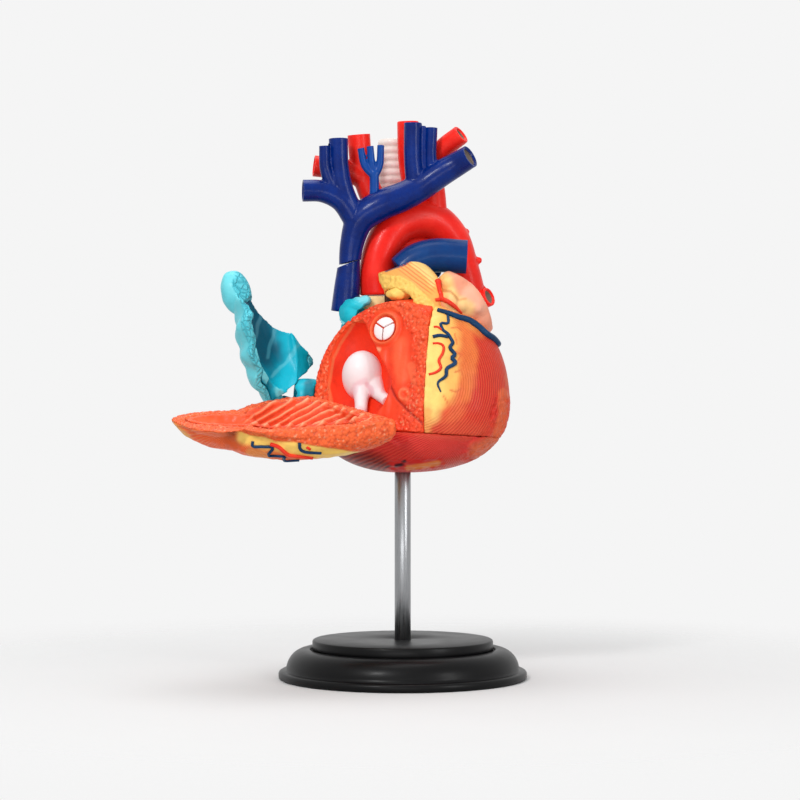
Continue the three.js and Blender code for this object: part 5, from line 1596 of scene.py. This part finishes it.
side_shell = carved(side_form(0), side_form(3.4, -1))
hinged(side_shell, SIDE_HINGE, ((-6.8, -3), (3, 6.8)), BARREL_ROOM)
cleared(side_shell)
carved(side_shell, turned_about(arm(), *SIDE_HINGE, SIDE_SWING), "UNION")
hinged(side_shell, SIDE_HINGE, [(-3, 3)], BARREL_RADIUS, "UNION")
hinged(side_shell, SIDE_HINGE, [(-6.3, 6.3)], PIN_ROOM)
evened(side_shell, 0.45, 2)
side_shell.name = "side_wall_shell"

BOWL_MIDDLE = WALL_CORNER + WALL_UP * 24 + WALL_ACROSS * 4
bowl = ellipsoid("bowl", BOWL_MIDDLE, WALL_AXES, (22, 12.5, 7.5), detail=6)
side_lining = carved(side_form(3.7), bowl)
cleared(side_lining)
carved(side_lining, turned_about(arm(0.3), *SIDE_HINGE, SIDE_SWING))
evened(side_lining, 0.4, 2)
side_lining.name = "side_wall_lining"
print("side wall opened by", SIDE_SWING, "degrees")

# %% Pressing and painting the side wall
open_side = Matrix.Rotation(np.radians(SIDE_SWING), 3, Vector(SIDE_AXIS))
SIDE_FACE = np.array(open_side @ Vector(-WALL_OUT))
points = points_of(side_shell)
normals = normals_of(side_shell)
sawn_side = smoothstep(0.55, 0.85, normals @ SIDE_FACE)
foot_side = smoothstep(0.6, 0.85, normals @ np.array(open_side @ Vector(FOOT_SIDE[0])))
swell = (1 - sawn_side) * (1 - foot_side) * lumps(points, 4.0, 31) * 0.5
press(side_shell, swell)
corner = SIDE_POINT + np.array(open_side @ Vector(WALL_CORNER - SIDE_POINT))
depth = (corner - points) @ SIDE_FACE
near_edge = smoothstep(3.6, 2.6, depth + lumps(points, 3, 33)) * (1 - foot_side)
mark(side_shell, "pebbles", np.maximum(sawn_side, near_edge * 0.8))
paint(side_shell, "#69d2de", [([(228, 276), (240, 290)], 10, "#74d8e2", 0.7)])
tint(side_shell, "#5bcddc", np.maximum(sawn_side, near_edge))
# Painted shade: the sawn face at the foot faces down and is painted dark.
tint(side_shell, "#0c6276", foot_side)
finished(side_shell, "side_wall", ["right_atrium_wall"], [turquoise])

points = points_of(side_lining)
normals = normals_of(side_lining)
folds = lumps(points * np.array([0.8, 0.8, 0.25]), 3.4, 32)
press(side_lining, folds * 0.6)
depth = (corner - points) @ SIDE_FACE
places = on_grid(points)
side_rim = smoothstep(3.6, 2.6, depth + lumps(points, 2.5, 33) * 1.2) * smoothstep(
    11, 8, line_distance(places, [(250, 283), (246, 320), (252, 350), (264, 380), (275, 395)]))
foot = smoothstep(0.6, 0.85, normals @ np.array(open_side @ Vector(FOOT_SIDE[0])))
# Painted shade at the top of the bowl and painted light at its bottom.
paint(side_lining, "#058aa4", [
    ([(252, 290), (256, 320), (262, 350)], 17, "#07526a", 0.95),
    ([(292, 336), (305, 352), (296, 366), (286, 384)], 14, "#04b4cc", 0.95),
], wander=4)
brush(side_lining, [
    ([(264, 301), (260, 318), (256, 337)], 1.8, "#4f93a6", 0.6),
    ([(278, 324), (272, 340), (268, 357)], 1.8, "#4a9fb2", 0.6),
    ([(297, 347), (286, 362), (272, 376)], 1.8, "#5cc4d4", 0.6),
], wander=2)
tint(side_lining, "#66d0dd", side_rim)
# Painted shade on the downward sawn face at the foot.
tint(side_lining, "#08586c", foot)
finished(side_lining, "side_wall", ["right_atrium_lining"], [turquoise])

# %% The atrium's floor
BARREL_SLOT = 8.5
atrium_floor = ellipsoid("atrium_floor", (-36, 10, 102), WORLD, (9.5, 10, 9.5), detail=6)
points = points_of(atrium_floor)
press(atrium_floor, lumps(points, 5, 18) * 0.4)
hinged(atrium_floor, SIDE_HINGE, ((-6.5, -3.3), (3.3, 6.5)), BARREL_RADIUS, "UNION")
hinged(atrium_floor, SIDE_HINGE, [(-3.3, 3.3)], BARREL_SLOT)
carved(atrium_floor, carved(side_form(-1.6, -1.6), side_form(6.9, -100)))
for room in (arm(1.6), swing_room(26), ventricles(0.3, 6)):
    carved(atrium_floor, room)
evened(atrium_floor, 0.45, 2)
# The dark upright stroke is painted shade, and the lighter one is painted light.
paint(atrium_floor, "#16b4ca", [
    ([(309, 383), (309, 398)], 4, "#0c6a7e", 0.8), ([(288, 398), (296, 384)], 6, "#22bccf", 0.8)],
    wander=2)
finished(atrium_floor, "heart", ["right_atrium_floor"], [turquoise])

# %% [markdown]
# ## Vessels on the surface
# The heart's own vessels are thin raised cords, painted blue or red by hand. Each is a short line
# of places on the drawing, dropped onto the skin that is seen there, so it lies on the wall from
# any side.

# %% Laying a cord on the skins
def meet(names, place):
    """The nearest point of the named skins along a sight line, and the skin's own direction."""
    ray = sight(place)
    hits = [SKINS[name].ray_cast(Vector(EYE), ray) for name in names]
    hits = [hit for hit in hits if hit[0] is not None]
    if not hits:
        return None
    nearest = min(hits, key=lambda hit: hit[3])
    return np.array(nearest[0]), np.array(nearest[1])


def spaced(places, step):
    """A smooth line through places on the grid, sampled at even steps along it."""
    stops = [(a, b, 0, 0) for a, b in places]
    line = smooth_line(stops, 16)[:, :2]
    length = np.append(0, np.cumsum(np.linalg.norm(np.diff(line, axis=0), axis=1)))
    at = np.linspace(0, length[-1], max(3, int(length[-1] / step)))
    return np.stack([np.interp(at, length, line[:, i]) for i in (0, 1)], 1)


def laid_on(name, names, places, radii, sink=0.35, step=2.0, sides=14):
    """A round cord pressed a little into the skins under a line on the grid."""
    line = spaced(places, step)
    widths = np.interp(np.linspace(0, 1, len(line)), np.linspace(0, 1, len(radii)), radii)
    stops = []
    for place, radius in zip(line, widths):
        met = meet(names, place)
        if met:
            stops.append(np.append(met[0] + met[1] * radius * (1 - 2 * sink), radius))
    return tube(name, np.array(stops), sides, rims=SHUT)


print("skins to lay vessels on", list(SKINS))

# %% Raised vessels
surface_blue = gloss_paint("surface vein", "#042c4c", "#083c66", 0.32)
surface_red = gloss_paint("surface artery", "#dc2a1a", "#f04428", 0.32)
HEART_SKINS = ["left_wall", "auricle", "hump", "septum"]
SURFACE_VESSELS = [
    ("vein", HEART_SKINS, [
        (437.6, 310.4), (447.8, 313.5), (458, 317.6), (468, 320.6), (477.3, 326.7), (486.5, 335),
        (492.7, 339), (497, 344), (501, 352)], (0.8, 1.1, 1.3, 1.3, 1.2)),
    ("vein", HEART_SKINS, [
        (448, 315), (448, 323.5), (441, 323.5), (443, 330), (448, 334), (451, 339), (453, 343),
        (450, 347.5), (455, 355), (452, 358), (455.5, 363), (447, 369), (446, 376), (438, 383),
        (441, 392)], (0.5, 0.55, 0.65, 0.8, 0.65, 0.25)),
    ("vein", HEART_SKINS, [(433, 337), (440, 335.6), (448, 337)], (0.65, 0.65)),
    ("artery", HEART_SKINS, [
        (437.5, 281.3), (438.4, 285), (439.6, 291), (441.6, 297), (443, 300)], (1.2, 0.85, 0.8, 0.9)),
    ("artery", HEART_SKINS, [
        (435.5, 300.2), (441.6, 299.5), (447.8, 301.2), (454.9, 306.3), (462, 313)],
     (0.6, 0.9, 0.8, 0.35)),
    ("artery", HEART_SKINS, [(434, 327), (438, 327), (442, 330)], (0.4, 0.4)),
    ("artery", HEART_SKINS, [
        (433, 343.5), (439, 343.5), (443.5, 346), (443, 353), (439, 360.5), (441, 368), (436, 372.5),
        (429, 374.5)], (0.4, 0.5, 0.55, 0.45)),
    ("vein", ["shell"], [
        (253.3, 441.4), (252.9, 445.9), (263, 446.6), (273.4, 447.7), (268.5, 454.8), (277, 455.5),
        (285, 456.6), (283.7, 459.7), (299.3, 459.7)], (0.55, 0.55)),
    ("vein", ["shell"], [(299.8, 443), (300.3, 448.8), (304.3, 451.4), (321.3, 452.8)], (0.6, 0.55)),
    ("artery", ["shell"], [
        (270.7, 444), (278.8, 446.8), (285, 452), (289.5, 454.8), (297.5, 455.7), (313, 457.7)],
     (0.7, 0.75, 0.6)),
    ("artery", ["shell"], [(307, 447), (310.5, 449.2)], (0.5, 0.5)),
    ("vein", ["shell"], [(306, 407), (312.8, 407.7)], (0.4, 0.4)),
]
for i, (kind, names, places, radii) in enumerate(SURFACE_VESSELS):
    vessel = laid_on(f"surface_{kind}_{i}", names, places, radii)
    body = "front_wall" if names == ["shell"] else "heart"
    finished(vessel, body, [], [surface_blue if kind == "vein" else surface_red])
